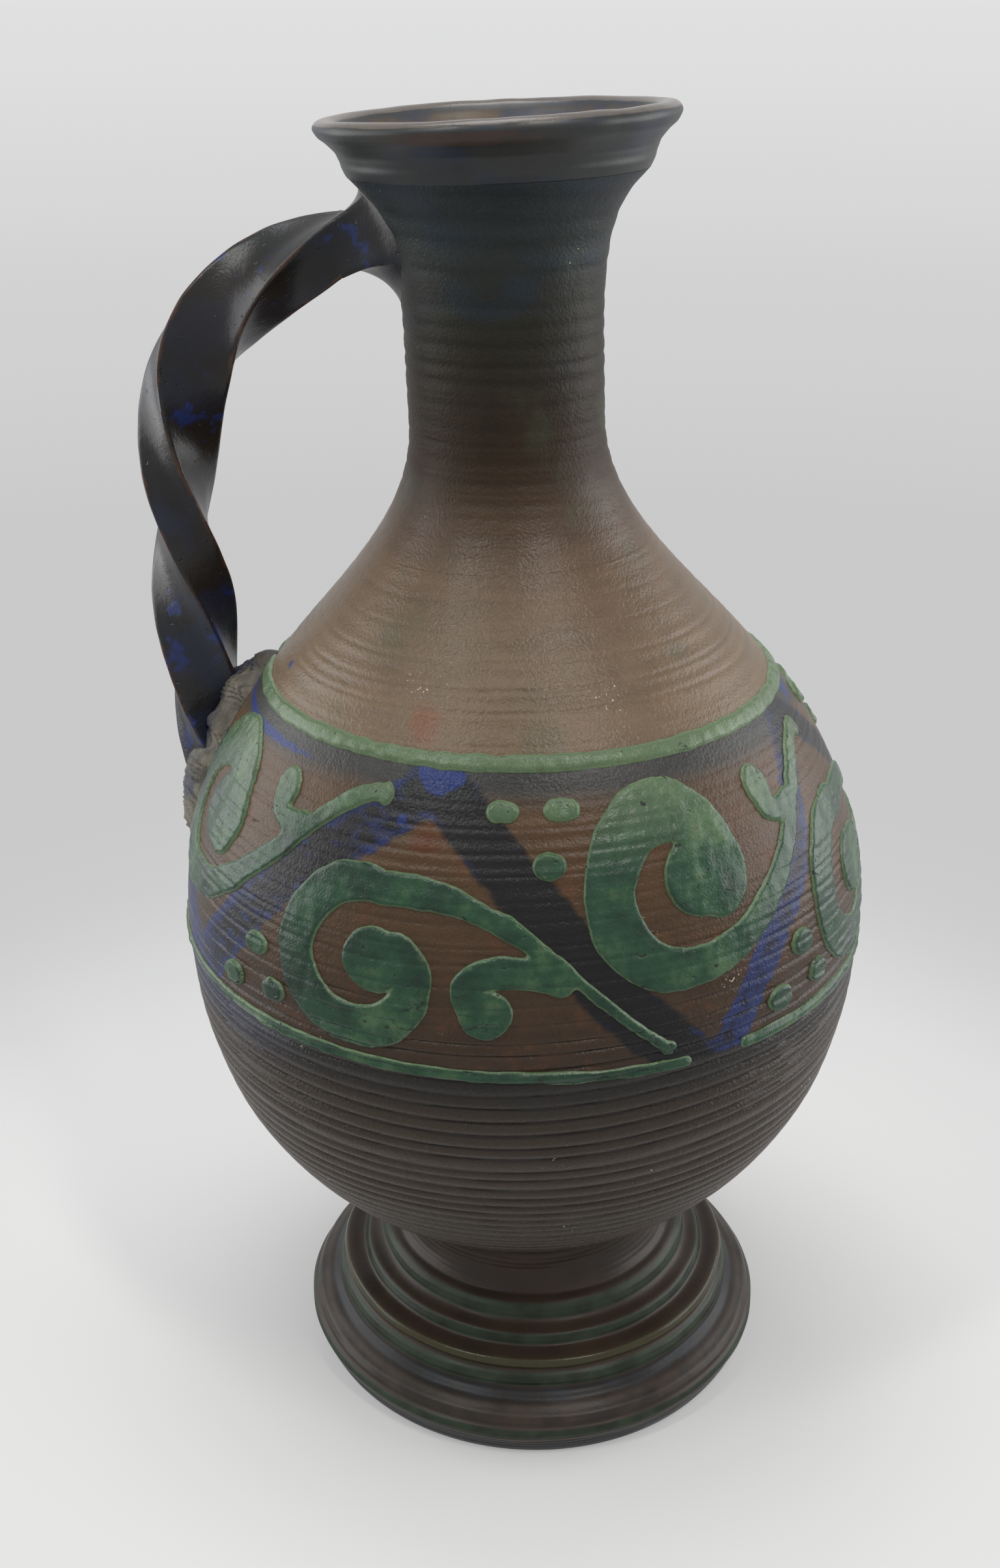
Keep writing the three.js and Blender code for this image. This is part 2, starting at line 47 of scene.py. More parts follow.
# Sizes of the solids, in millimetres and degrees, round the upright axis of the foot
WALL, FLOOR = 5.5, 7.0
Z_STEM, Z_FOOT = 29.4, 46.4
Z_BELLY, Z_SEAM, Z_NECK, Z_FLARE, Z_MOUTH, Z_TOP = 142.0, 242.2, 271.2, 290.0, 329.4, 344.0
Z_LOW_LINE, Z_HIGH_LINE, Z_BAND = 139.1, 206.9, 173.0
LOW_TILT, HIGH_TILT, TILT_AZ = 4.0, 1.6, math.radians(185)
LEAN, LEAN_AZ = math.radians(2.1), math.radians(164)
BEND = (Z_FOOT - Z_STEM) / LEAN
HANDLE_AZ, PAD_AZ = math.radians(173), math.radians(172)
Z_HANDLE, HANDLE_R, Z_SIDE = 316.2, 85.3, 250.7

low, high = (np.array(corner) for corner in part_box("pedestal_foot"))
FOOT = np.append((low[:2] + high[:2]) / 2 * 1000, 0)


def bezier(points, count=900):
    """Points along a Bezier curve of any degree."""
    p = np.array(points, float)[:, None, :]
    t = np.linspace(0, 1, count)[:, None]
    while len(p) > 1:
        p = p[:-1] * (1 - t) + p[1:] * t
    return p[0]


PROFILE = np.vstack([
    bezier([(38, Z_FOOT), (56, Z_FOOT + 18), (90.7, Z_BELLY - 63.7), (90.7, Z_BELLY)]),
    bezier([(90.7, Z_BELLY), (90.7, Z_BELLY + 66.8), (24.1, Z_NECK - 40.8), (24.1, Z_NECK)])[1:],
    bezier([(24.1, Z_FLARE), (24.1, Z_FLARE + 30.3), (29.7, Z_MOUTH - 6), (35.4, Z_MOUTH)]),
])
SLOPE = np.gradient(PROFILE[:, 0], PROFILE[:, 1])


def outside(z):
    return np.interp(z, PROFILE[:, 1], PROFILE[:, 0])


def slope(z):
    return np.interp(z, PROFILE[:, 1], SLOPE)


def inside(z):
    return outside(z) - WALL * np.hypot(1, slope(z))


def on_pot(az, z, lift):
    """Points at a lift above the outside of the pot, square to its surface."""
    s = slope(z)
    length = np.hypot(1, s)
    r = outside(z) + lift / length
    return np.stack([r * np.cos(az), r * np.sin(az), z - lift * s / length], -1)


def settled(p):
    """Upright millimetres to the jug as it stands, bent in its stem, in metres."""
    c, s = math.cos(LEAN_AZ), math.sin(LEAN_AZ)
    x, y = p[:, 0] * c + p[:, 1] * s, p[:, 1] * c - p[:, 0] * s
    rise = np.clip(p[:, 2] - Z_STEM, 0, Z_FOOT - Z_STEM)
    angle, reach, beyond = rise / BEND, BEND - x, p[:, 2] - Z_STEM - rise
    x = BEND - reach * np.cos(angle) + beyond * np.sin(angle)
    z = Z_STEM + reach * np.sin(angle) + beyond * np.cos(angle)
    return (np.stack([x * c - y * s, x * s + y * c, z], -1) + FOOT) / 1000


def waves(seed, scale, dims=3, count=20):
    """A smooth random field of about unit size whose features are near scale apart."""
    rng = np.random.default_rng(seed)
    k = rng.normal(size=(count, dims)) * 2.2 / scale
    shift = rng.uniform(0, 2 * math.pi, count)

    def field(p):
        return np.cos(p @ k.T + shift).sum(-1) * math.sqrt(2 / count)
    return field


# Throwing rings: one spiral groove up the pot, soft above the belly and crisp below
RING_Z = np.linspace(30, 345, 6000)
RING_GAP = np.interp(RING_Z, [47, 70, 100, 125, 142, 172, 202, 222, 245, 275, 300, 335],
                     [2.6, 3.0, 3.4, 3.7, 4.2, 4.6, 5.0, 5.2, 5.2, 4.8, 5.4, 6.5])
RING_TURN = np.cumsum((RING_Z[1] - RING_Z[0]) / RING_GAP)
drift = waves(3, 9.0, 1)
RING_TURN = RING_TURN + 0.16 * drift(RING_Z[:, None])
ring_depth = waves(5, 14.0, 1)
ring_wander = waves(8, 60.0)


def rings(az, z):
    """Height of the throwing rings in mm, and the same as a share from -1 to 1."""
    p = on_pot(az, z, 0)
    turn = np.interp(z, RING_Z, RING_TURN) + az / (2 * math.pi) + 0.09 * ring_wander(p)
    soft = np.cos(2 * math.pi * turn)
    crisp = 2.4 * (np.abs(np.sin(math.pi * turn)) ** 0.75 - 0.62)
    edge = np.interp(z, [60, 128, 150, 185, 240, 300], [1, 1, 0.6, 0.5, 0.5, 0.3])
    share = soft * (1 - edge) + crisp * edge
    size = np.interp(z, [47, 60, 100, 130, 142, 172, 205, 240, 262, 280, 300, 326],
                     [0.14, 0.28, 0.40, 0.44, 0.52, 0.54, 0.48, 0.52, 0.42, 0.28, 0.20, 0.08])
    size = size * (1 + 0.35 * ring_depth(z[..., None]))
    return size * share, share


def tilt(az, height):
    """How far the band's lines sink or rise round the pot: they run a little askew."""
    size = np.interp(height, [90, Z_LOW_LINE, Z_HIGH_LINE, 245], [0, LOW_TILT, HIGH_TILT, 0])
    return size * np.cos(az - TILT_AZ)


# Meshes
def make(name, points, faces, fields, material, slot, *nodes):
    """A smooth mesh piece from upright points, riding on the jug in place of CAD nodes."""
    mesh = bpy.data.meshes.new(name)
    sizes = np.array([len(f) for f in faces])
    flat = np.concatenate([np.asarray(f) for f in faces]).astype(np.int32)
    mesh.vertices.add(len(points))
    mesh.vertices.foreach_set("co", settled(points).astype(np.float32).ravel())
    mesh.loops.add(len(flat))
    mesh.loops.foreach_set("vertex_index", flat)
    mesh.polygons.add(len(sizes))
    mesh.polygons.foreach_set("loop_start", np.append(0, np.cumsum(sizes)[:-1]).astype(np.int32))
    mesh.update(calc_edges=True)
    mesh.validate()
    mesh.polygons.foreach_set("use_smooth", np.ones(len(mesh.polygons), bool))
    mesh.set_sharp_from_angle(angle=math.radians(58))
    for key, values in fields.items():
        data = mesh.attributes.new(key, "FLOAT", "POINT").data
        data.foreach_set("value", np.asarray(values, np.float32).ravel())
    piece = bpy.data.objects.new(name, mesh)
    scene.collection.objects.link(piece)
    mesh.materials.append(material)
    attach(piece, "root")
    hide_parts(*nodes)
    return piece


def grid_faces(rows, columns, wrap_rows=False):
    """Quads over rows of points, each row closed on itself."""
    i = np.arange(rows if wrap_rows else rows - 1)[:, None] * columns
    j = np.arange(columns)[None, :]
    k = (j + 1) % columns
    n = rows * columns
    return np.stack([i + j, i + k, (i + columns + k) % n, (i + columns + j) % n], -1).reshape(-1, 4)


def along(points, step):
    """The same line at even steps."""
    p = np.array(points, float)
    s = np.append(0, np.cumsum(np.linalg.norm(np.diff(p, axis=0), axis=1)))
    t = np.linspace(0, s[-1], max(int(s[-1] / step), 2))
    return np.stack([np.interp(t, s, p[:, k]) for k in range(p.shape[1])], -1)


def rounded(line, sigma, step):
    """An open line of even steps with its corners rounded, its ends kept."""
    half = int(4 * sigma / step)
    kernel = np.exp(-0.5 * (np.arange(-half, half + 1) * step / sigma) ** 2)
    kernel /= kernel.sum()
    padded = np.vstack([2 * line[0] - line[half:0:-1], line, 2 * line[-1] - line[-2:-half - 2:-1]])
    return np.stack([np.convolve(padded[:, k], kernel, "valid") for k in range(2)], -1)


def wall_piece(name, z_from, z_to, rows, segments, material, slot, node, floor=False):
    """A length of the thrown wall: ringed outside, plain inside."""
    z_out = np.linspace(z_from, z_to, rows)
    if floor:
        curve = along(PROFILE[PROFILE[:, 1] <= z_to + 1e-6], 0.05)
        z_out = curve[np.linspace(0, len(curve) - 1, rows).round().astype(int), 1]
        z_out[-1] = z_to
    z_in = np.linspace(z_to, Z_FOOT + FLOOR + WALL if floor else z_from, rows // 7)
    az = np.linspace(0, 2 * math.pi, segments, endpoint=False)
    zo, ao = np.meshgrid(z_out, az, indexing="ij")
    lift, share = rings(ao, zo)
    outer = on_pot(ao, zo, lift)
    zi, ai = np.meshgrid(z_in, az, indexing="ij")
    ri = inside(zi) + 0.25 * np.cos(zi * 1.05 + ai)
    inner = np.stack([ri * np.cos(ai), ri * np.sin(ai), zi], -1)
    points = np.vstack([outer.reshape(-1, 3), inner.reshape(-1, 3)])
    total = len(z_out) + len(z_in)
    faces = [f for f in grid_faces(total, segments, wrap_rows=not floor)]
    if floor:
        points = np.vstack([points, [[0, 0, Z_FOOT], [0, 0, Z_FOOT + FLOOR]]])
        j = np.arange(segments)
        k = (j + 1) % segments
        base, last = len(points) - 2, (total - 1) * segments
        faces += [f for f in np.stack([np.full(segments, base), k, j], -1)]
        faces += [f for f in np.stack([np.full(segments, base + 1), last + j, last + k], -1)]
    a, z = np.concatenate([ao.ravel(), ai.ravel()]), np.concatenate([zo.ravel(), zi.ravel()])
    inner_share = np.concatenate([np.zeros(ao.size), np.ones(ai.size)])
    ring = np.concatenate([share.ravel(), np.zeros(ai.size)])
    if floor:
        a, z = np.append(a, [0, 0]), np.append(z, [Z_FOOT, Z_FOOT + FLOOR])
        inner_share, ring = np.append(inner_share, [0, 1]), np.append(ring, [0, 0])
    fields = ground_fields(a, z)
    fields.update(ring=ring, inner=inner_share)
    return make(name, points, faces, fields, material, slot, node)


# Painted ground of the band: a zigzag of dark wash, as (degrees, height, half width) along its middle
ZIGZAG = [(206.5, -1, 6.8), (217, 17, 6.4), (231, 41, 5.6), (242, 51.5, 5.4), (256, 64, 6.2),
          (265.5, 53, 6.4), (276, 36, 6.4), (285, 18.5, 6.6), (298, -3, 6.8), (301, -3, 4.4), (308, 14, 4.2),
          (314.5, 25, 4.2), (322.5, 36, 4.2), (329, 52, 4.4), (340, 66, 4.8), (397, -3, 6.6), (444, 66, 6.6),
          (490, -3, 6.6), (527, 66, 6.6), (566.5, -1, 6.8)]
COBALT_AZ = [200, 215, 235, 247, 262, 275, 295, 305, 325, 345, 360, 400, 430, 480, 520, 560]
COBALT = [0.85, 0.65, 0.35, 0.55, 0.2, 0.0, 0.15, 0.85, 0.6, 0.3, 0.1, 0.6, 0.7, 0.2, 0.5, 0.85]
BLUSHES = [(250.9, 213.6, 5.6), (254.9, 192.3, 5.4), (62.0, 216.0, 6.0), (119.0, 190.0, 5.0)]
BLUE_SPOTS = [(197.5, 215.0, 1.4), (256.4, 203.6, 3.4), (250.0, 196.0, 2.0), (253.5, 204.6, 2.4),
              (259.4, 204.9, 2.4), (353.0, 202.0, 3.0)]


def flat(az, z):
    """Degrees and heights on the band as flat millimetres."""
    return np.stack([np.radians(az) * outside(Z_BAND), z], -1)


def ground_fields(az, z):
    """What the ground's glaze needs to know at each point."""
    degrees = np.degrees(az) % 360
    height = z - tilt(az, z - tilt(az, z))
    band = height - Z_LOW_LINE
    unrolled = np.where(degrees < 207, degrees + 360, degrees)
    zigzag = np.full(len(az), -99.0)
    for offset in (-360, 0, 360):
        p = flat(unrolled + offset, band)
        for a, b in zip(ZIGZAG[:-1], ZIGZAG[1:]):
            ends = np.array([flat(*a[:2]), flat(*b[:2])])
            zigzag = np.maximum(zigzag, stroke_field(p, ends, [a[2], b[2]]))
    blush, spot = np.zeros(len(az)), np.zeros(len(az))
    for marks, field in ((BLUSHES, blush), (BLUE_SPOTS, spot)):
        for a, h, size in marks:
            away = (degrees - a + 180) % 360 - 180
            d = np.hypot(np.radians(away) * outside(z), (z - h) / 0.9)
            field += np.exp(-(d / size) ** 2)
    near_handle = np.interp(np.abs((degrees - 190 + 180) % 360 - 180), [0, 20, 48], [1, 1, 0])
    blue_line = np.exp(-((band - 62.6) / 1.0) ** 2) * near_handle
    return {
        "height": height,
        "zigzag": np.clip(zigzag, -12, 12),
        "cobalt": np.interp(unrolled, COBALT_AZ, COBALT),
        "blush": blush,
        "spot": np.maximum(spot, blue_line),
        "side": near_handle,
    }


# Slip strokes as flat distance fields, in millimetres along the band's middle and up
def stroke_field(p, line, half):
    """How far inside a stroke of changing half width each point lies."""
    best = np.full(len(p), -99.0)
    for a, b, wa, wb in zip(line[:-1], line[1:], half[:-1], half[1:]):
        span = b - a
        t = np.clip((p - a) @ span / max(span @ span, 1e-9), 0, 1)
        best = np.maximum(best, wa + t * (wb - wa) - np.linalg.norm(p - a - t[:, None] * span, axis=1))
    return best


def joined(a, b, soft):
    h = np.maximum(soft - np.abs(a - b), 0) / soft
    return np.maximum(a, b) + h * h * soft / 4


def smooth(x, a, b):
    t = np.clip((x - a) / (b - a), 0, 1)
    return t * t * (3 - 2 * t)


UPPER = dict(tail=[(43, 26), (31, 28), (15, -11)], centre=(-2.3, 6.2), curl=(1.6, 8.2), radius=17.0,
             start=-80, sweep=-330, fall=6, tip=3.6, full=12.8, ball=8.4,
             hook=[(27, 16), (22, 14), (18, 17), (20.5, 21.5)], hook_width=5.2, hook_ball=4.6)
LOWER = dict(tail=[(38.5, -29.2), (25, -12), (16.5, 11.5)], centre=(-8.5, -9.1), curl=(-5.8, -8.4),
             radius=17.2, start=75, sweep=325, fall=5, tip=2.6, full=10.7, ball=7.8,
             hook=[(22.5, -10), (12, -3), (4, -13.5), (11.5, -18)], hook_width=7.4, hook_ball=6.1)


def scroll_field(shape):
    """The distance field of a scroll: a tapered tail, a coil with its ball, and a hook."""
    share = np.linspace(0, 1, 90)
    drawn = share ** shape["fall"]
    reach = shape["radius"] * (1 - 0.68 * drawn)
    angle = np.radians(shape["start"] + shape["sweep"] * share)
    centre, curl = flat(*shape["centre"]), flat(*shape["curl"])
    ray = np.stack([np.cos(angle), np.sin(angle)], -1)
    coil = centre + (curl - centre) * drawn[:, None] + ray * reach[:, None]
    tail = bezier([*(flat(*p) for p in shape["tail"]), coil[0]], 36)
    line = np.vstack([tail[:-1], coil])
    t = np.interp(np.arange(len(line)), [0, len(tail) - 1, len(line) - 1], [0, 8 / 28, 1])
    width = shape["tip"] + (shape["full"] - shape["tip"]) * smooth(t, 0, 0.5)
    half = width / 2 * (1 - 0.3 * smooth(t, 0.7, 1))
    hook = bezier([flat(*p) for p in shape["hook"]], 30)

    def field(p):
        d = stroke_field(p, line, half)
        d = np.maximum(d, shape["tip"] / 2 + 0.5 - np.linalg.norm(p - line[0], axis=1))
        d = joined(d, shape["ball"] - np.linalg.norm(p - curl, axis=1), 1.0)
        h = stroke_field(p, hook, np.full(len(hook), shape["hook_width"] / 2))
        h = joined(h, shape["hook_ball"] - np.linalg.norm(p - hook[-1], axis=1), 1.0)
        return joined(d, h, 1.6)
    box = np.vstack([line, hook])
    return field, box.min(0) - 9, box.max(0) + 9


def dot_field(place, width, height):
    centre = flat(*place)

    def field(p):
        q = (p - centre) / np.array([width / 2, height / 2])
        return (1 - np.linalg.norm(q, axis=1)) * min(width, height) / 2
    reach = np.array([width, height]) / 2 + 1.5
    return field, centre - reach, centre + reach


def line_field(span, y, width):
    ends = flat(np.array([0.0, span]), np.array([y, y]))

    def field(p):
        return stroke_field(p, ends, np.array([width / 2, width / 2]))
    return field, ends.min(0) - 4, ends.max(0) + 4


def cut_grid(field, low, high, step):
    """The part of a flat grid where the field is above 0: points, faces, and each edge of the rim."""
    nx, ny = (np.ceil((high - low) / step)).astype(int) + 1
    xs, ys = low[0] + step * np.arange(nx), low[1] + step * np.arange(ny)
    grid = np.stack(np.meshgrid(xs, ys, indexing="ij"), -1).reshape(-1, 2)
    value = field(grid)
    value[np.abs(value) < 1e-4] = 1e-4
    on = value > 0
    points, index = [], {}

    def corner(a):
        if a not in index:
            index[a] = len(points)
            points.append(grid[a])
        return index[a]

    def crossing(a, b):
        key = (min(a, b), max(a, b))
        if key not in index:
            t = value[a] / (value[a] - value[b])
            index[key] = len(points)
            points.append(grid[a] + (grid[b] - grid[a]) * t)
        return index[key]
    faces, rim = [], []
    cells = (np.arange(nx - 1)[:, None] * ny + np.arange(ny - 1)[None, :]).ravel()
    quads = np.stack([cells, cells + ny, cells + ny + 1, cells + 1], -1)
    for quad in quads[on[quads].any(1)]:
        quad = [int(q) for q in quad]
        state = [on[q] for q in quad]
        if all(state):
            faces.append([corner(q) for q in quad])
            continue
        start = next(i for i in range(4) if state[i] and not state[i - 1])
        order = quad[start:] + quad[:start]
        runs, run = [], []
        for a, b in zip(order, order[1:] + order[:1]):
            if on[a]:
                if not run:
                    before = order[order.index(a) - 1]
                    run.append(crossing(a, before))
                run.append(corner(a))
                if not on[b]:
                    run.append(crossing(a, b))
                    runs.append(run)
                    run = []
        for run in runs:
            faces.append(run)
            rim.append((run[-1], run[0]))
    return np.array(points), faces, rim


SLIP_EDGE, SLIP_ROOT = 0.9, 0.7


def slip_piece(name, shape, azimuth, rise, material, node, step=0.5, seed=1, wobble=0.16):
    """One stroke of slip laid on the ringed wall, rounded at its edge, closed underneath."""
    field, low, high = shape
    slow, quick = waves(seed, 7.0, 2), waves(seed + 50, 2.2, 2)

    def uneven(p):
        return field(p) + wobble * slow(p) + 0.35 * wobble * quick(p)
    p, faces, rim = cut_grid(uneven, low, high, step)
    depth = np.maximum(uneven(p), 0)
    az = math.radians(azimuth) + p[:, 0] / outside(Z_BAND)
    height = Z_BAND + p[:, 1]
    z = height + tilt(az, height)
    ring, share = rings(az, z)
    t = np.clip(depth / SLIP_EDGE, 0, 1)
    body = rise * np.sqrt(1 - (1 - t) ** 2) + 0.07 * slow(p * 1.7) * t + 0.035 * quick(p) * t
    lift = body + ring
    top, under = on_pot(az, z, lift), on_pot(az, z, ring - SLIP_ROOT)
    count = len(p)
    faces = faces + [[i + count for i in reversed(f)] for f in faces]
    faces += [[b, a, a + count, b + count] for a, b in ((x, y) for y, x in rim)]
    fields = {"edge": np.tile(depth, 2), "ring": np.tile(share, 2), "height": np.tile(height, 2)}
    return make(name, np.vstack([top, under]), faces, fields, material, "slip_green", node)


# Materials
def tint(r, g, b):
    """A colour as seen on screen, 0 to 255, made linear."""
    c = np.array([r, g, b]) / 255
    return (*np.where(c <= 0.04045, c / 12.92, ((c + 0.055) / 1.055) ** 2.4).tolist(), 1.0)


class Graph:
    """A short way to write node trees: each method adds a node and gives its output."""

    def __init__(self, name):
        self.material = bpy.data.materials.new(name)
        self.material.use_nodes = True
        self.tree = self.material.node_tree
        self.tree.nodes.clear()
        self.shader = self.tree.nodes.new("ShaderNodeBsdfPrincipled")
        out = self.tree.nodes.new("ShaderNodeOutputMaterial")
        self.tree.links.new(self.shader.outputs[0], out.inputs["Surface"])
        coordinates = self.tree.nodes.new("ShaderNodeTexCoord")
        scale = self.tree.nodes.new("ShaderNodeVectorMath")
        scale.operation = "SCALE"
        scale.inputs["Scale"].default_value = 1000
        self.tree.links.new(coordinates.outputs["Object"], scale.inputs[0])
        self.place = scale.outputs[0]

    def put(self, socket, value):
        if isinstance(value, bpy.types.NodeSocket):
            self.tree.links.new(value, socket)
        else:
            socket.default_value = value

    def math(self, operation, a, b=0.0):
        n = self.tree.nodes.new("ShaderNodeMath")
        n.operation = operation
        self.put(n.inputs[0], a)
        self.put(n.inputs[1], b)
        return n.outputs[0]

    def add(self, *values):
        total = values[0]
        for v in values[1:]:
            total = self.math("ADD", total, v)
        return total

    def times(self, a, b):
        return self.math("MULTIPLY", a, b)

    def off(self, noise, size):
        """Noise about 0, of a given size."""
        return self.math("MULTIPLY", self.math("SUBTRACT", noise, 0.5), size)

    def span(self, value, low, high, to_low=0.0, to_high=1.0):
        n = self.tree.nodes.new("ShaderNodeMapRange")
        n.interpolation_type = "SMOOTHSTEP"
        keys = ("Value", "From Min", "From Max", "To Min", "To Max")
        for key, v in zip(keys, (value, low, high, to_low, to_high)):
            self.put(n.inputs[key], v)
        return n.outputs[0]

    def field(self, name):
        n = self.tree.nodes.new("ShaderNodeAttribute")
        n.attribute_name = name
        return n.outputs["Fac"]

    def noise(self, size, detail=2.0, stretch=None, rough=0.5):
        """Noise whose features are about size millimetres, stretched along an axis where asked."""
        vector = self.place
        if stretch:
            n = self.tree.nodes.new("ShaderNodeVectorMath")
            n.operation = "MULTIPLY"
            self.put(n.inputs[0], vector)
            n.inputs[1].default_value = stretch
            vector = n.outputs[0]
        n = self.tree.nodes.new("ShaderNodeTexNoise")
        self.put(n.inputs["Vector"], vector)
        n.inputs["Scale"].default_value = 1 / size
        n.inputs["Detail"].default_value = detail
        n.inputs["Roughness"].default_value = rough
        return n.outputs["Fac"]

    def mix(self, share, a, b, blend="MIX"):
        n = self.tree.nodes.new("ShaderNodeMix")
        n.data_type, n.blend_type = "RGBA", blend
        self.put(n.inputs[0], share)
        self.put(n.inputs[6], a)
        self.put(n.inputs[7], b)
        return n.outputs[2]

    def ramp(self, value, stops):
        """Colours against a value, as (value, colour) stops."""
        low, high = stops[0][0], stops[-1][0]
        n = self.tree.nodes.new("ShaderNodeMapRange")
        for key, v in (("Value", value), ("From Min", low), ("From Max", high)):
            self.put(n.inputs[key], v)
        r = self.tree.nodes.new("ShaderNodeValToRGB")
        self.put(r.inputs[0], n.outputs[0])
        band = r.color_ramp
        for stop, (_, colour) in zip(band.elements, (stops[0], stops[-1])):
            stop.color = colour
        for at, colour in stops[1:-1]:
            band.elements.new((at - low) / (high - low)).color = colour
        return r.outputs[0]

    def shade(self, colour, value):
        """A colour made lighter or darker by a factor that changes over the surface."""
        n = self.tree.nodes.new("ShaderNodeCombineColor")
        for k in range(3):
            self.put(n.inputs[k], value)
        return self.mix(1.0, colour, n.outputs[0], "MULTIPLY")

    def finish(self, colour, roughness, bump=None, depth=0.0001, strength=0.5, gloss=0.35):
        s = self.shader.inputs
        self.put(s["Base Color"], colour)
        self.put(s["Roughness"], roughness)
        self.put(s["Specular IOR Level"], gloss)
        if bump is not None:
            n = self.tree.nodes.new("ShaderNodeBump")
            n.inputs["Distance"].default_value = depth
            n.inputs["Strength"].default_value = strength
            self.put(n.inputs["Height"], bump)
            self.put(s["Normal"], n.outputs[0])
        return self.material


def body_glaze():
    g = Graph("body_glaze")
    big, mid, small, grain = g.noise(46, 3), g.noise(9, 3), g.noise(2.6, 2), g.noise(0.7, 2)
    height, ring = g.field("height"), g.field("ring")
    loose = g.add(height, g.off(big, 16), g.off(mid, 5))
    tight = g.add(height, g.off(mid, 2.2), g.off(small, 0.8))
    below = g.ramp(loose, [(46, tint(44, 36, 29)), (70, tint(50, 42, 35)), (100, tint(54, 46, 39)),
                           (122, tint(48, 40, 33)), (140, tint(40, 34, 29))])
    above = g.ramp(loose, [(200, tint(98, 80, 59)), (226, tint(96, 78, 58)), (240, tint(88, 69, 50)),
                           (250, tint(66, 47, 29)), (262, tint(45, 32, 19)), (280, tint(37, 29, 20)),
                           (298, tint(32, 31, 24)), (315, tint(38, 42, 42)), (330, tint(40, 45, 48))])
    above = g.mix(g.times(g.span(g.noise(15, 3), 0.52, 0.7), 0.35), above, g.shade(above, 0.72))
    above = g.mix(g.times(g.span(g.noise(22, 3), 0.55, 0.7), 0.35), above, tint(56, 64, 46))
    teal = g.times(g.span(g.noise(20, 4, stretch=(1, 1, 1.8)), 0.48, 0.66), g.span(height, 276, 312))
    above = g.mix(g.times(teal, 0.5), above, tint(28, 42, 56))
    ground = g.ramp(loose, [(138, tint(48, 36, 26)), (162, tint(60, 44, 29)), (184, tint(70, 51, 33)),
                            (206, tint(76, 57, 39))])
    ground = g.mix(g.times(g.span(g.noise(6, 4, rough=0.6), 0.5, 0.75), 0.55), ground, tint(84, 50, 30))
    wash = g.times(g.span(tight, 197.0, 203.0), 0.85)
    ground = g.mix(wash, ground, tint(42, 47, 49))
    streak = g.noise(5, 3, stretch=(1, 1, 2.6))
    zig = g.add(g.field("zigzag"), g.off(mid, 2.6), g.off(streak, 2.0), g.off(small, 0.8))
    rim = g.times(g.span(zig, 3.2, 0.6), g.span(zig, -0.8, 0.6))
    blue = g.add(g.off(streak, 1.2), g.off(small, 0.6), g.field("cobalt"), g.times(rim, 0.25))
    dark = g.mix(g.span(blue, 0.42, 1.05), tint(13, 15, 19), tint(24, 40, 86))
    ground = g.mix(g.times(g.span(zig, -0.8, 0.9), 0.94), ground, dark)
    lower_wash = g.span(g.add(height, g.off(mid, 6)), 126, 134)
    below = g.mix(g.times(lower_wash, 0.8), below, g.mix(g.field("side"), tint(32, 30, 28), tint(32, 40, 64)))
    colour = g.mix(g.span(tight, 138.4, 139.8), below, ground)
    colour = g.mix(g.span(tight, 206.2, 207.6), colour, above)
    blush = g.span(g.add(g.field("blush"), g.off(mid, 0.6), g.off(small, 0.4)), 0.3, 1.1)
    colour = g.mix(blush, colour, g.mix(1.0, colour, (1.12, 0.66, 0.55, 1), "MULTIPLY"))
    spot = g.span(g.add(g.field("spot"), g.off(mid, 0.7), g.off(small, 0.8)), 0.35, 0.65)
    colour = g.mix(g.times(spot, 0.9), colour, tint(24, 42, 98))
    # Lighter on the ring crests and darker in the grooves: partly glaze pooled in the grooves, partly painted
    # highlight on the crests and painted shade in the grooves.
    valley = g.span(ring, -0.25, -1.1)
    lines = g.noise(3.0, 3, stretch=(0.16, 0.16, 1.0))
    tone = g.add(1.0, g.times(ring, 0.20), g.times(valley, -0.36), g.off(grain, 0.5), g.off(mid, 0.26),
                 g.off(lines, 0.5))
    colour = g.shade(colour, tone)
    fleck = g.times(g.span(g.noise(0.8, 0.0), 0.74, 0.79), g.span(g.noise(19, 1.0), 0.66, 0.74))
    colour = g.mix(g.times(fleck, 0.75), colour, tint(200, 186, 160))
    colour = g.mix(g.field("inner"), colour, tint(70, 58, 46))
    upper = g.span(loose, 244, 268)
    rough = g.add(0.34, g.off(mid, 0.14), g.off(grain, 0.16), g.off(lines, 0.12), g.times(upper, 0.14))
    bump = g.add(grain, g.times(small, 0.8), g.times(fleck, 1.5))
    shoulder = g.span(loose, 203, 210, 0.26, 0.38)
    gloss = g.math("SUBTRACT", shoulder, g.times(upper, 0.2))
    return g.finish(colour, rough, bump, 0.00022, 0.85, gloss)


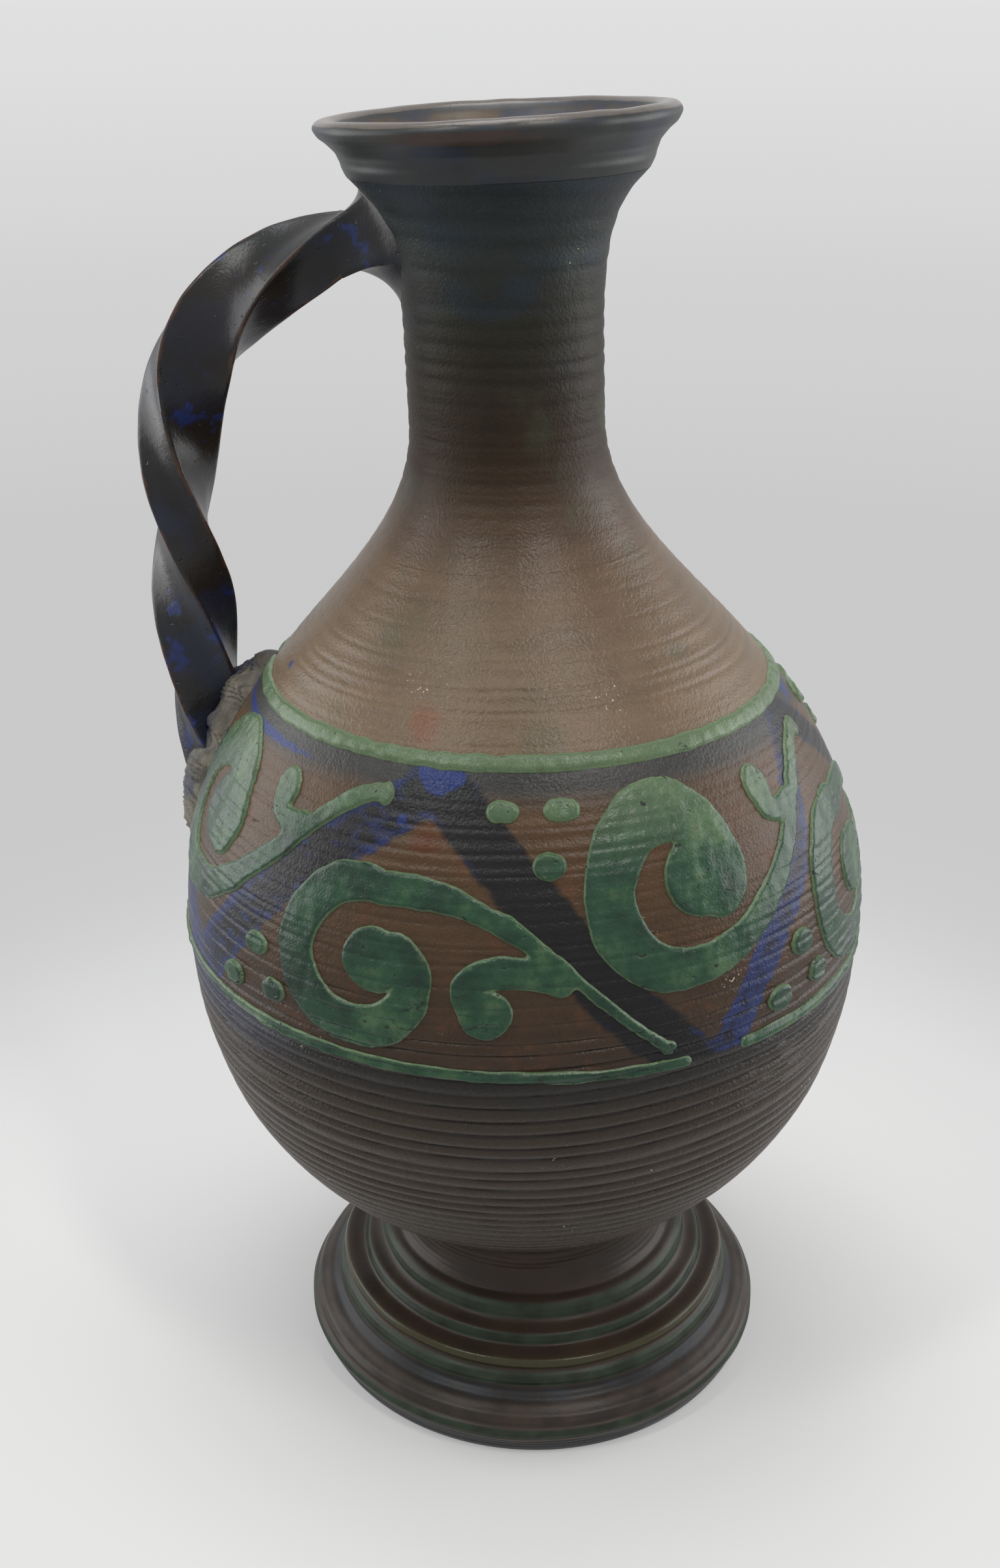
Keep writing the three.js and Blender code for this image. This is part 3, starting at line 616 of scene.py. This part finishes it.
def slip_glaze():
    g = Graph("slip_glaze")
    big, mid, small, grain = g.noise(24, 2), g.noise(5, 3), g.noise(1.8, 2), g.noise(0.6, 2)
    edge = g.add(g.field("edge"), g.off(small, 0.5))
    # The ring share makes the slip slightly lighter over the ring crests: painted highlight.
    tone = g.add(g.noise(10, 4, rough=0.62), g.off(big, 0.7), g.times(g.field("ring"), 0.08))
    colour = g.ramp(tone, [(0.24, tint(14, 37, 27)), (0.42, tint(20, 50, 34)), (0.58, tint(31, 64, 42)),
                           (0.74, tint(62, 88, 59))])
    # Paler towards the top of the band, heights 182 to 208: painted sheen where the slip faces up to the
    # light.
    colour = g.mix(g.span(g.field("height"), 182, 208, 0.0, 0.7), colour, tint(94, 112, 82))
    colour = g.mix(g.times(g.span(edge, 0.55, 0.1), 0.5), colour, tint(112, 132, 96))
    thin = g.span(g.add(mid, g.off(small, 0.3)), 0.64, 0.8)
    colour = g.mix(g.times(thin, 0.5), colour, tint(62, 62, 38))
    colour = g.shade(colour, g.add(1.0, g.off(grain, 0.5), g.off(small, 0.3)))
    crack = g.times(g.span(g.math("ABSOLUTE", g.off(g.noise(11, 3, stretch=(1, 1, 2.4)), 1.0)), 0.012, 0.004),
                    g.span(g.noise(16, 1), 0.6, 0.68))
    pit = g.span(g.noise(1.5, 0.0), 0.79, 0.84)
    colour = g.mix(g.math("MAXIMUM", g.times(crack, 0.8), g.times(pit, 0.85)), colour, tint(20, 25, 21))
    rough = g.add(0.30, g.off(mid, 0.16), g.off(grain, 0.14))
    return g.finish(colour, rough, g.add(grain, g.times(small, 0.8), g.times(pit, -2.0)), 0.0002, 0.6, 0.36)


def foot_glaze():
    g = Graph("foot_glaze")
    big, mid, small, grain = g.noise(30, 3), g.noise(7, 3), g.noise(2, 2), g.noise(0.7, 2)
    colour = g.mix(g.span(big, 0.35, 0.65), tint(42, 35, 29), tint(52, 41, 33))
    flange = g.field("flange")
    colour = g.mix(flange, colour, g.mix(g.span(mid, 0.4, 0.62), tint(39, 34, 30), tint(51, 42, 35)))
    # Darker and bluer in the foot's hollows, the cavetto above the flange and the undercut at the bottom: a
    # bluish glaze there with painted shade.
    shade = g.mix(g.span(mid, 0.4, 0.65), tint(15, 17, 19), tint(17, 25, 33))
    colour = g.mix(g.times(g.field("hollow"), 0.85), colour, shade)
    green = g.span(g.add(g.field("green"), g.off(mid, 0.45), g.off(small, 0.2)), 0.35, 0.75)
    leaf = g.mix(g.span(mid, 0.35, 0.65), tint(22, 33, 23), tint(36, 50, 35))
    colour = g.mix(g.times(green, 0.85), colour, leaf)
    gold = g.span(g.add(g.field("gold"), g.off(mid, 0.3)), 0.35, 0.8)
    colour = g.mix(g.times(gold, 0.8), colour, tint(54, 53, 32))
    colour = g.shade(colour, g.add(1.0, g.off(grain, 0.25), g.off(mid, 0.25)))
    rough = g.add(0.38, g.off(mid, 0.14), g.off(grain, 0.08), g.times(gold, -0.14))
    return g.finish(colour, rough, g.add(g.times(grain, 0.6), small), 0.00012, 0.4, 0.24)


def mouth_glaze():
    g = Graph("mouth_glaze")
    big, mid, small, grain = g.noise(26, 3), g.noise(7, 3), g.noise(2, 2), g.noise(0.7, 2)
    colour = g.mix(g.span(big, 0.35, 0.65), tint(33, 36, 37), tint(40, 42, 41))
    blue = g.span(g.noise(14, 4, stretch=(1, 1, 2)), 0.5, 0.66)
    colour = g.mix(g.times(blue, 0.5), colour, tint(28, 40, 62))
    wear = g.span(g.add(g.field("wear"), g.off(mid, 1.1), g.off(small, 0.5)), 0.45, 1.1)
    colour = g.mix(g.times(wear, 0.6), colour, tint(66, 42, 30))
    # Pale grey along the top of the lip: painted highlight.
    lip_highlight = g.span(g.add(g.field("lip"), g.off(mid, 0.9)), 0.55, 1.0)
    colour = g.mix(g.times(lip_highlight, 0.6), colour, tint(108, 98, 90))
    lining = g.mix(g.span(mid, 0.4, 0.65), tint(84, 70, 52), tint(52, 56, 70))
    colour = g.mix(g.field("inner"), colour, lining)
    colour = g.shade(colour, g.add(1.0, g.off(grain, 0.25), g.off(mid, 0.25)))
    rough = g.add(0.42, g.off(mid, 0.14), g.times(g.field("lip"), -0.20))
    return g.finish(colour, rough, g.add(g.times(grain, 0.5), small), 0.00012, 0.4, 0.4)


def handle_glaze():
    g = Graph("handle_glaze")
    big, mid, small, grain = g.noise(28, 3), g.noise(9, 4), g.noise(2.2, 3), g.noise(0.7, 2)
    low = g.span(g.add(g.field("along"), g.off(mid, 0.3)), 0.25, 0.6)
    colour = g.mix(g.span(big, 0.38, 0.62), tint(17, 18, 20), tint(26, 22, 20))
    navy = g.times(g.add(0.35, g.times(low, 0.5)), g.span(g.noise(17, 3), 0.45, 0.62))
    colour = g.mix(navy, colour, tint(24, 29, 46))
    blue = g.span(g.add(g.noise(13, 4, rough=0.6), g.off(small, 0.12)), 0.60, 0.67)
    colour = g.mix(g.times(blue, 0.85), colour, tint(24, 38, 88))
    arris = g.span(g.add(g.field("arris"), g.off(small, 1.6), g.off(mid, 2.6)), 0.6, -0.2)
    colour = g.mix(g.times(arris, 0.7), colour, tint(72, 46, 32))
    colour = g.shade(colour, g.add(1.0, g.off(grain, 0.25), g.off(mid, 0.3)))
    pit = g.span(g.noise(1.6, 0.0), 0.78, 0.84)
    rough = g.add(0.30, g.off(mid, 0.16), g.off(grain, 0.1))
    return g.finish(colour, rough, g.add(g.times(grain, 0.6), small, g.times(pit, -2.0)), 0.00018, 0.45, 0.36)


def pad_clay():
    g = Graph("pad_clay")
    mid, small, grain = g.noise(8, 4), g.noise(2, 3), g.noise(0.7, 2)
    colour = g.mix(g.span(mid, 0.38, 0.62), tint(70, 66, 58), tint(104, 98, 87))
    colour = g.mix(g.times(g.span(g.noise(11, 3), 0.52, 0.66), 0.75), colour, tint(34, 42, 72))
    # Darker between the torn ledges: painted shade in the crevices.
    hollow = g.span(g.add(g.field("hollow"), g.off(small, 0.6)), 0.3, 1.0)
    colour = g.mix(g.times(hollow, 0.8), colour, tint(28, 26, 26))
    colour = g.shade(colour, g.add(1.0, g.off(grain, 0.35), g.off(small, 0.3)))
    rough = g.add(0.52, g.off(mid, 0.2))
    return g.finish(colour, rough, g.add(small, g.times(grain, 0.6)), 0.0004, 0.6, 0.3)


BODY, SLIP = body_glaze(), slip_glaze()

# Thrown walls
wall_piece("bowl_skin", Z_FOOT, Z_BELLY, 270, 280, BODY, "bowl_glaze", "lower_bowl", floor=True)
wall_piece("shoulder_skin", Z_BELLY, Z_SEAM, 270, 280, BODY, "shoulder_glaze", "shoulder")
wall_piece("neck_skin", Z_SEAM, Z_MOUTH, 210, 220, BODY, "neck_glaze", "neck")


def ringed_piece(name, profile, segments, uneven, fields, material, slot, node, sag=None):
    """A turned piece from a closed profile, with small unevenness all over."""
    n = len(profile)
    step = np.roll(profile, -1, 0) - np.roll(profile, 1, 0)
    normal = np.stack([step[:, 1], -step[:, 0]], -1) / np.linalg.norm(step, axis=1)[:, None]
    az = np.linspace(0, 2 * math.pi, segments, endpoint=False)
    r, z, a = profile[:, :1], profile[:, 1:], az[None, :]
    p = np.stack(np.broadcast_arrays(r * np.cos(a), r * np.sin(a), z), -1).reshape(-1, 3)
    d = uneven(p, np.repeat(profile, segments, 0)).reshape(n, segments)
    r, z = r + d * normal[:, :1], z + d * normal[:, 1:]
    p = np.stack(np.broadcast_arrays(r * np.cos(a), r * np.sin(a), z), -1).reshape(-1, 3)
    spread = {k: np.repeat(v, segments) if len(v) == n else v for k, v in fields(p, profile, az).items()}
    if sag:
        p = sag(p)
    return make(name, p, [f for f in grid_faces(n, segments, wrap_rows=True)], spread, material, slot, node)


# Foot: soft ring mouldings over a flat standing ring
FOOT_STEP = 0.34
foot_line = [(63.4, 0), (64.6, 2.0), (65.9, 5.6), (66.8, 7.0), (66.9, 8.4), (66.3, 9.5), (65.4, 10.0),
             (65.4, 10.6)]
foot_line += bezier([(65.4, 10.6), (64.9, 14.2), (59.6, 13.6), (57.9, 17.4)], 22).tolist()
foot_line += [(57.9, 18.2), (57.6, 19.8), (56.7, 21.0), (55.8, 21.5), (55.8, 22.2), (56.6, 23.0),
              (56.6, 24.2), (55.8, 25.2), (54.4, 25.4), (52.6, 25.2), (51.0, 25.3), (50.2, 26.0),
              (49.9, 27.4), (48.9, 28.5), (46.9, 28.9), (45.5, 29.4), (44.9, 30.2), (44.6, 32.0),
              (43.6, 33.5), (42.0, 34.3), (40.6, 34.9)]
foot_line += bezier([(40.6, 34.9), (38.6, 36.6), (37.4, 41.0), (38.0, Z_FOOT)], 24).tolist()
foot_outer = rounded(along(foot_line, FOOT_STEP), 0.5, FOOT_STEP)
foot_inner = along(bezier([(32.5, Z_FOOT), (36.7, Z_FOOT / 2), (58.5, 0)], 60), 1.2)
foot_profile = np.vstack([foot_outer, foot_inner])
foot_lathe = waves(21, 16.0)


def foot_uneven(p, rz):
    out = smooth(rz[:, 1], 0.6, 3.0) * smooth(Z_FOOT - rz[:, 1], 0.2, 2.0)
    return out * (0.10 * foot_lathe(p * [1, 1, 6.0]) + 0.05 * np.sin(rz[:, 1] * 4.1))


def zone(values, low, high, soft):
    return smooth(values, low - soft, low + soft) * (1 - smooth(values, high - soft, high + soft))


def foot_fields(p, profile, az):
    r, z = profile.T
    out = np.append(np.ones(len(foot_outer)), np.zeros(len(foot_inner)))
    green = zone(z, 7.0, 9.6, 0.4) * (r > 64) + zone(z, 17.6, 21.2, 0.4) * (r > 55.4) + \
        zone(z, 25.8, 28.2, 0.4) * (r > 48.5) * (r < 51) + zone(z, 30.0, 33.8, 0.6) * (r > 43)
    # hollow marks where the foot gets painted shade: the cavetto above the flange and the undercut at the
    # bottom.
    hollow = zone(r, 57.6, 60.8, 1.2) * zone(z, 12.6, 17.4, 0.6) + zone(z, 0, 5.2, 0.6)
    return {"green": green * out, "gold": zone(z, 22.4, 25.2, 0.4) * (r > 54.4) * out, "hollow": hollow * out,
            "flange": zone(z, 10.4, 14.0, 0.4) * (r > 60.0) * out}


ringed_piece("foot_skin", foot_profile, 250, foot_uneven, foot_fields, foot_glaze(), "foot_glaze",
             "pedestal_foot")

# Mouth: a shallow collar, a waist and a rolled lip that wavers a little
MOUTH_STEP = 0.3
mouth_line = [(35.4, Z_MOUTH), (36.2, 330.7), (36.8, 332.6), (37.4, 334.6), (38.6, 336.4), (40.4, 338.0),
              (42.0, 339.4), (42.9, 341.2), (42.5, 342.7), (41.2, 343.5), (39.4, 343.6), (37.4, 342.8),
              (35.6, 340.4), (32.8, 334.2)]
LIP_SAG = 1.5
mouth_outer = rounded(along(mouth_line, MOUTH_STEP), 0.7, MOUTH_STEP)
mouth_base = along([mouth_outer[-1], (float(inside(Z_MOUTH)), Z_MOUTH)], 0.6)[1:]
mouth_profile = np.vstack([mouth_outer, mouth_base])
mouth_slow, mouth_quick = waves(31, 30.0), waves(32, 9.0)


def mouth_uneven(p, rz):
    out = smooth(rz[:, 1], Z_MOUTH, Z_MOUTH + 2.5)
    return out * (0.14 * mouth_slow(p) + 0.06 * mouth_quick(p) + 0.04 * np.sin(rz[:, 1] * 2.6))


def mouth_sag(p):
    """The lip sinks a little towards the handle."""
    share = smooth(p[:, 2], Z_MOUTH, Z_TOP) * (1 - np.cos(np.arctan2(p[:, 1], p[:, 0]))) / 2
    return p - np.outer(share, [0, 0, LIP_SAG])


def mouth_fields(p, profile, az):
    r, z = profile.T
    lining = smooth(np.arange(len(profile)), len(mouth_outer) * 0.70, len(mouth_outer) * 0.78)
    front = np.exp(-(((np.degrees(az) - 258 + 180) % 360 - 180) / 24) ** 2)
    under = zone(z, 338.4, 341.4, 0.5) * (r > 40)
    wear = (under[:, None] * (0.25 + front[None, :])).ravel()
    return {"inner": lining, "wear": wear, "lip": zone(z, 342.4, 345.0, 0.4)}


ringed_piece("mouth_skin", mouth_profile, 260, mouth_uneven, mouth_fields, mouth_glaze(), "mouth_glaze",
             "mouth", mouth_sag)

# Handle: one strip of clay, hollow-faced, twisted on its way from the neck to the belly
PAD_Z = float(np.interp(-HANDLE_R, -PROFILE[900:1799, 0], PROFILE[900:1799, 1])) + 6
landing = float(outside(PAD_Z))
drop = Z_SIDE - PAD_Z
handle_line = np.vstack([
    bezier([(24.0, Z_HANDLE + 0.6), (68.5, Z_HANDLE - 7.7), (HANDLE_R, Z_SIDE + 40), (HANDLE_R, Z_SIDE)]),
    bezier([(HANDLE_R, Z_SIDE), (HANDLE_R, Z_SIDE - drop / 3), (HANDLE_R, PAD_Z + drop / 4),
            (landing - WALL / 2, PAD_Z - WALL / 2)])[1:],
])
HANDLE_STEP = 0.6
handle_line = along(handle_line, HANDLE_STEP)
WIDE, THICK, HOLLOW, TWIST, START = 18.4, 12.8, 0.75, 2.1, 70.0


def bar_section(count=88):
    """The bar's section as a closed loop, its arrises rounded, with each point's distance from an arris."""
    w, t = WIDE / 2, THICK / 2
    loop = []
    for a, b in (((w, -t), (w, t)), ((w, t), (-w, t)), ((-w, t), (-w, -t)), ((-w, -t), (w, -t))):
        a, b = np.array(a), np.array(b)
        middle = (a + b) / 2 * (1 - 2 * HOLLOW / np.linalg.norm((a + b) / 2))
        loop += bezier([a, middle, b], 40)[:-1].tolist()
    line = along(loop + loop[:1], 0.05)[:-1]
    soft = np.stack([np.fft.ifft(np.fft.fft(line[:, k]) * np.exp(
        -0.5 * (2 * math.pi * np.fft.fftfreq(len(line), 0.05) * 0.75) ** 2)).real for k in range(2)], -1)
    soft = soft[np.linspace(0, len(soft), count, endpoint=False).astype(int)]
    corners = np.array([(w, t), (-w, t), (-w, -t), (w, -t)])
    distance = np.linalg.norm(soft[:, None] - corners[None], axis=2).min(1)
    return soft, distance - distance.min()


section, arris = bar_section()


def bar_rows(line):
    """Rows of points round the bar along its line, upright, with the distance along."""
    s = np.append(0, np.cumsum(np.linalg.norm(np.diff(line, axis=0), axis=1)))
    ahead = np.gradient(line, axis=0)
    ahead /= np.linalg.norm(ahead, axis=1)[:, None]
    angle = np.radians(START + TWIST * (s - 3))[:, None]
    grow = (1 + 0.06 * np.clip(1 - (s - 3) / 18, 0, 1.1))[:, None]
    swell = 1 + 0.03 * waves(41, 26.0, 1)(s[:, None])[:, None]
    x, y = section[:, 0][None] * grow * swell, section[:, 1][None] * grow
    outward = x * np.cos(angle) + y * np.sin(angle)
    nearward = x * np.sin(angle) - y * np.cos(angle)
    radial = line[:, :1] - outward * ahead[:, 1:]
    up = line[:, 1:] + outward * ahead[:, :1]
    c, q = math.cos(HANDLE_AZ), math.sin(HANDLE_AZ)
    return np.stack([radial * c - nearward * q, radial * q + nearward * c, up], -1), s


rows, handle_s = bar_rows(handle_line)
count = len(section)
bar_points = rows.reshape(-1, 3)
dent_slow, dent_quick = waves(43, 22.0), waves(44, 6.0)
centres = np.repeat(rows.mean(1), count, 0)
away = bar_points - centres
away /= np.linalg.norm(away, axis=1)[:, None]
bar_points = bar_points + away * (0.20 * dent_slow(bar_points) + 0.06 * dent_quick(bar_points))[:, None]
bar_faces = [f for f in grid_faces(len(rows), count)]
bar_faces += [list(range(count))[::-1], list(range((len(rows) - 1) * count, len(rows) * count))]
HANDLE = handle_glaze()
bar_fields = {"arris": np.tile(arris, len(rows)), "along": np.repeat(handle_s / handle_s[-1], count)}
make("handle_bar", bar_points, bar_faces, bar_fields, HANDLE, "handle_glaze", "handle")


# Weld: clay smoothed from the bar on to the neck, all round
def weld_piece():
    out, root = 25, 7
    at_bar, at_root = rows[out], rows[root]
    middle = at_root.mean(0)
    side = np.array([-math.sin(HANDLE_AZ), math.cos(HANDLE_AZ), 0])
    angle = np.arctan2(at_root[:, 2] - middle[2], (at_root - middle) @ side)
    z = Z_HANDLE - 1.0 + np.where(np.sin(angle) > 0, 13.0, 17.0) * np.sin(angle)
    az = HANDLE_AZ + 15.5 * np.cos(angle) / outside(z)
    at_neck = on_pot(az, z, np.full(len(z), -0.25))
    control = at_root * 0.62 + at_neck * 0.38
    t = np.linspace(0, 1, 26)[:, None, None]
    fillet = (1 - t) ** 2 * at_bar + 2 * t * (1 - t) * control + t ** 2 * at_neck
    push = 0.10 * dent_quick(fillet.reshape(-1, 3)).reshape(fillet.shape[:2]) * np.sin(math.pi * t[..., 0])
    normal = fillet - fillet.mean(1, keepdims=True)
    normal /= np.linalg.norm(normal, axis=2, keepdims=True)
    fillet = fillet + normal * push[..., None]
    under = on_pot(az, z, np.full(len(z), -1.8))
    core = middle + (at_root - middle) * 0.6
    inner = at_bar.mean(0) + (at_bar - at_bar.mean(0)) * 0.8
    layers = np.concatenate([fillet, under[None], core[None], inner[None]])
    faces = grid_faces(len(layers), count, wrap_rows=True)
    total = layers.shape[0] * count
    fields = {"arris": np.full(total, 4.0), "along": np.zeros(total)}
    return make("upper_weld", layers.reshape(-1, 3), [f[::-1] for f in faces], fields, HANDLE, "handle_glaze",
                "upper_handle_weld")


weld_piece()


# Pad: torn clay pressed on to the belly under the bar's end
def pad_piece():
    half_w, half_h = 16.0, 31.0
    rough, torn, crumbs = waves(61, 9.0, 2), waves(62, 4.2, 2), waves(63, 1.7, 2)

    def field(p):
        q = p / np.array([half_w, half_h])
        return (1 - np.linalg.norm(q, axis=1)) * half_w + 0.9 * rough(p) * 0.6 - 0.9
    p, faces, rim = cut_grid(field, np.array([-18.0, -33.0]), np.array([18.0, 33.0]), 0.5)
    depth = np.maximum(field(p), 0)
    az = PAD_AZ + p[:, 0] / outside(PAD_Z)
    z = PAD_Z + p[:, 1]
    up = p[:, 1] / half_h
    share = np.clip(1 - depth / half_w, 0, 1)
    body = 0.2 + (7.4 + 2.0 * up) * (1 - share ** np.where(up > 0.3, 6, 4))
    ledge = p[:, 1] * 0.32 + p[:, 0] * 0.25 + 1.2 * rough(p)
    step = ledge - np.floor(ledge)
    torn_edge = smooth(step, 0.0, 0.25) * (1 - step)
    t = np.clip(depth / 3.0, 0, 1)
    lift = body * (0.86 + 0.05 * rough(p)) + t * (1.1 * torn_edge + 0.32 * torn(p) + 0.14 * crumbs(p) - 0.3)
    lift = np.maximum(lift, 0.05)
    top, under = on_pot(az, z, lift), on_pot(az, z, np.full(len(p), -0.8))
    n = len(p)
    faces = faces + [[i + n for i in reversed(f)] for f in faces]
    faces += [[b, a, a + n, b + n] for a, b in ((x, y) for y, x in rim)]
    # hollow: where the pad gets painted shade, low between the torn ledges.
    hollow = np.tile(np.clip(1 - 2.2 * torn_edge - 0.4 * torn(p), 0, 1), 2)
    return make("torn_pad", np.vstack([top, under]), faces, {"hollow": hollow}, pad_clay(), "pad_clay",
                "lower_handle_pad")


pad_piece()

# Slip: two border lines, scrolls that face each other across the zigzag, and dots in threes
LINE_RISE, SCROLL_RISE, DOT_RISE = (0.85, 0.75), 0.85, 1.2
high_line = line_field(350, Z_HIGH_LINE - Z_BAND, 3.3)
low_line = line_field(349, Z_LOW_LINE - Z_BAND, 3.1)
slip_piece("line_high", high_line, 177, LINE_RISE[0], SLIP, "upper_slip_line", 0.6, 201, 0.1)
slip_piece("line_low", low_line, 306.5, LINE_RISE[1], SLIP, "lower_slip_line", 0.6, 202, 0.1)
UPPER_AZ, LOWER_AZ, PAD_DOTS_AZ = [203, 299, 33.5, 122], [254, 348, 78.5], 173
for k, a in enumerate(UPPER_AZ):
    name, node = f"scroll_high_{k + 1}", f"upper_scroll_{k + 1}"
    slip_piece(name, scroll_field(UPPER), a, SCROLL_RISE, SLIP, node, 0.5, 210 + k)
for k, a in enumerate(LOWER_AZ):
    name, node = f"scroll_low_{k + 1}", f"lower_scroll_{k + 1}"
    slip_piece(name, scroll_field(LOWER), a, SCROLL_RISE, SLIP, node, 0.5, 220 + k)
HIGH_DOTS = [(-30.5, 25), (-20, 25), (-23, 14.5)]
LOW_DOTS = [(-28.5, -14.5), (-34.5, -26), (-24.5, -24.5)]
dots = [(a, d) for a in UPPER_AZ[1:] for d in HIGH_DOTS]
dots += [(a, d) for a in (*LOWER_AZ, PAD_DOTS_AZ) for d in LOW_DOTS]
for k, (a, place) in enumerate(dots):
    z = Z_BAND + place[1]
    wide = 8.0 * float(outside(Z_BAND) / outside(z))
    tall = 6.4 / math.hypot(1, float(slope(z)))
    name, node = f"dot_{k + 1}", f"slip_dot_{k + 1}"
    slip_piece(name, dot_field(place, wide, tall), a, DOT_RISE, SLIP, node, 0.4, 300 + k, 0.2)


# Stage: a pale floor that fades into the background, soft lamps, and the camera
def seen_rays(tree):
    """1 for the rays that show a background: from the camera, or by way of a reflection or glass."""
    rays = tree.nodes.new("ShaderNodeLightPath")
    total = rays.outputs["Is Camera Ray"]
    for kind in ("Is Glossy Ray", "Is Transmission Ray"):
        larger = tree.nodes.new("ShaderNodeMath")
        larger.operation = "MAXIMUM"
        tree.links.new(total, larger.inputs[0])
        tree.links.new(rays.outputs[kind], larger.inputs[1])
        total = larger.outputs[0]
    return total


def floor_piece():
    rings_r = np.concatenate([np.linspace(0, 1.2, 13)[1:], [1.6, 2.2, 3, 4.5, 7, 12, 30]])
    turns = 72
    az = np.linspace(0, 2 * math.pi, turns, endpoint=False)
    points = [(0, 0, 0)] + [(r * math.cos(a), r * math.sin(a), 0) for r in rings_r for a in az]
    faces = [(0, 1 + j, 1 + (j + 1) % turns) for j in range(turns)]
    faces += [tuple(1 + f) for f in grid_faces(len(rings_r), turns)]
    mesh = bpy.data.meshes.new("floor")
    mesh.from_pydata(points, [], [[int(i) for i in f] for f in faces])
    piece = bpy.data.objects.new("floor", mesh)
    scene.collection.objects.link(piece)
    material = bpy.data.materials.new("floor_paper")
    material.use_nodes = True
    tree = material.node_tree
    tree.nodes.clear()
    new, link = tree.nodes.new, tree.links.new
    place, length = new("ShaderNodeTexCoord"), new("ShaderNodeVectorMath")
    length.operation = "LENGTH"
    link(place.outputs["Object"], length.inputs[0])
    # Away from the object, camera and reflection rays see a glowing tone in place of the lit paper: painted
    # light, lightest far off and darker at middle distance. Near the object 0.3 of the glow stays, which
    # lightens the floor's shadow.
    far = new("ShaderNodeMapRange")
    far.interpolation_type = "SMOOTHSTEP"
    far.inputs["From Min"].default_value, far.inputs["From Max"].default_value = 0.12, 0.32
    far.inputs["To Min"].default_value = 0.3
    link(length.outputs["Value"], far.inputs["Value"])
    near = new("ShaderNodeMath")
    near.operation = "DIVIDE"
    near.inputs[0].default_value = 0.15
    link(length.outputs["Value"], near.inputs[1])
    tone = new("ShaderNodeValToRGB")
    link(near.outputs[0], tone.inputs[0])
    stops = ((0.0, 0.76), (0.019, 0.73), (0.07, 0.65), (0.176, 0.585), (0.375, 0.59), (0.7, 0.65),
             (1.0, 0.66))
    for stop, (_, value) in zip(tone.color_ramp.elements, (stops[0], stops[-1])):
        stop.color = (value, value, value * 1.008, 1)
    for at, value in stops[1:-1]:
        tone.color_ramp.elements.new(at).color = (value, value, value * 1.008, 1)
    share = new("ShaderNodeMath")
    share.operation = "MULTIPLY"
    link(seen_rays(tree), share.inputs[0])
    link(far.outputs[0], share.inputs[1])
    paper, glow, mix = new("ShaderNodeBsdfPrincipled"), new("ShaderNodeEmission"), new("ShaderNodeMixShader")
    paper.inputs["Base Color"].default_value = (0.66, 0.66, 0.657, 1)
    paper.inputs["Roughness"].default_value = 0.9
    paper.inputs["Specular IOR Level"].default_value = 0.1
    link(tone.outputs[0], glow.inputs["Color"])
    link(share.outputs[0], mix.inputs[0])
    link(paper.outputs[0], mix.inputs[1])
    link(glow.outputs[0], mix.inputs[2])
    out = new("ShaderNodeOutputMaterial")
    link(mix.outputs[0], out.inputs["Surface"])
    mesh.materials.append(material)


floor_piece()

world = bpy.data.worlds.new("studio")
scene.world = world
world.use_nodes = True
tree = world.node_tree
tree.nodes.clear()
soft, seen = tree.nodes.new("ShaderNodeBackground"), tree.nodes.new("ShaderNodeBackground")
soft.inputs["Color"].default_value, soft.inputs["Strength"].default_value = (1, 1, 1, 1), 0.48
seen.inputs["Color"].default_value, seen.inputs["Strength"].default_value = (1, 1, 1, 1), 0.76
mix, out = tree.nodes.new("ShaderNodeMixShader"), tree.nodes.new("ShaderNodeOutputWorld")
tree.links.new(seen_rays(tree), mix.inputs[0])
tree.links.new(soft.outputs[0], mix.inputs[1])
tree.links.new(seen.outputs[0], mix.inputs[2])
tree.links.new(mix.outputs[0], out.inputs["Surface"])


def lamp(name, place, aim, size, power, colour=(1, 1, 1)):
    light = bpy.data.lights.new(name, "AREA")
    light.shape, light.size, light.size_y = "RECTANGLE", size[0], size[1]
    light.energy, light.color = power, colour
    piece = bpy.data.objects.new(name, light)
    scene.collection.objects.link(piece)
    piece.location = place
    toward = np.array(aim) - np.array(place)
    x, y, z = toward / np.linalg.norm(toward)
    piece.rotation_euler = (math.acos(-z), 0, math.atan2(y, x) - math.pi / 2)
    return piece


lamp("top", (-0.1, 0.2, 1.5), (0, 0, 0.15), (0.7, 0.7), 7)
lamp("front_left", (-0.60, -0.56, 1.20), (0, 0, 0.2), (0.12, 0.5), 3.8, (0.95, 1.0, 0.95))
lamp("front_right", (0.42, -0.60, 1.26), (0, 0, 0.2), (0.12, 0.5), 4.8, (1.0, 0.96, 0.93))
lamp("left", (-0.75, 0.1, 0.32), (0, 0, 0.17), (0.7, 0.6), 3.4)
lamp("right", (0.75, 0.1, 0.32), (0, 0, 0.17), (0.7, 0.6), 4.0)

camera = bpy.data.objects.new("camera", bpy.data.cameras.new("camera"))
scene.collection.objects.link(camera)
scene.camera = camera
camera.data.sensor_fit, camera.data.sensor_height, camera.data.lens = "VERTICAL", 24.0, 26.91
camera.data.clip_start, camera.data.clip_end = 0.01, 60
camera.location = (FOOT[0] / 1000, FOOT[1] / 1000 - 0.42794, 0.37043)
camera.rotation_euler = (math.radians(65.275), 0, math.radians(1.317))

scene.view_settings.view_transform = "Standard"
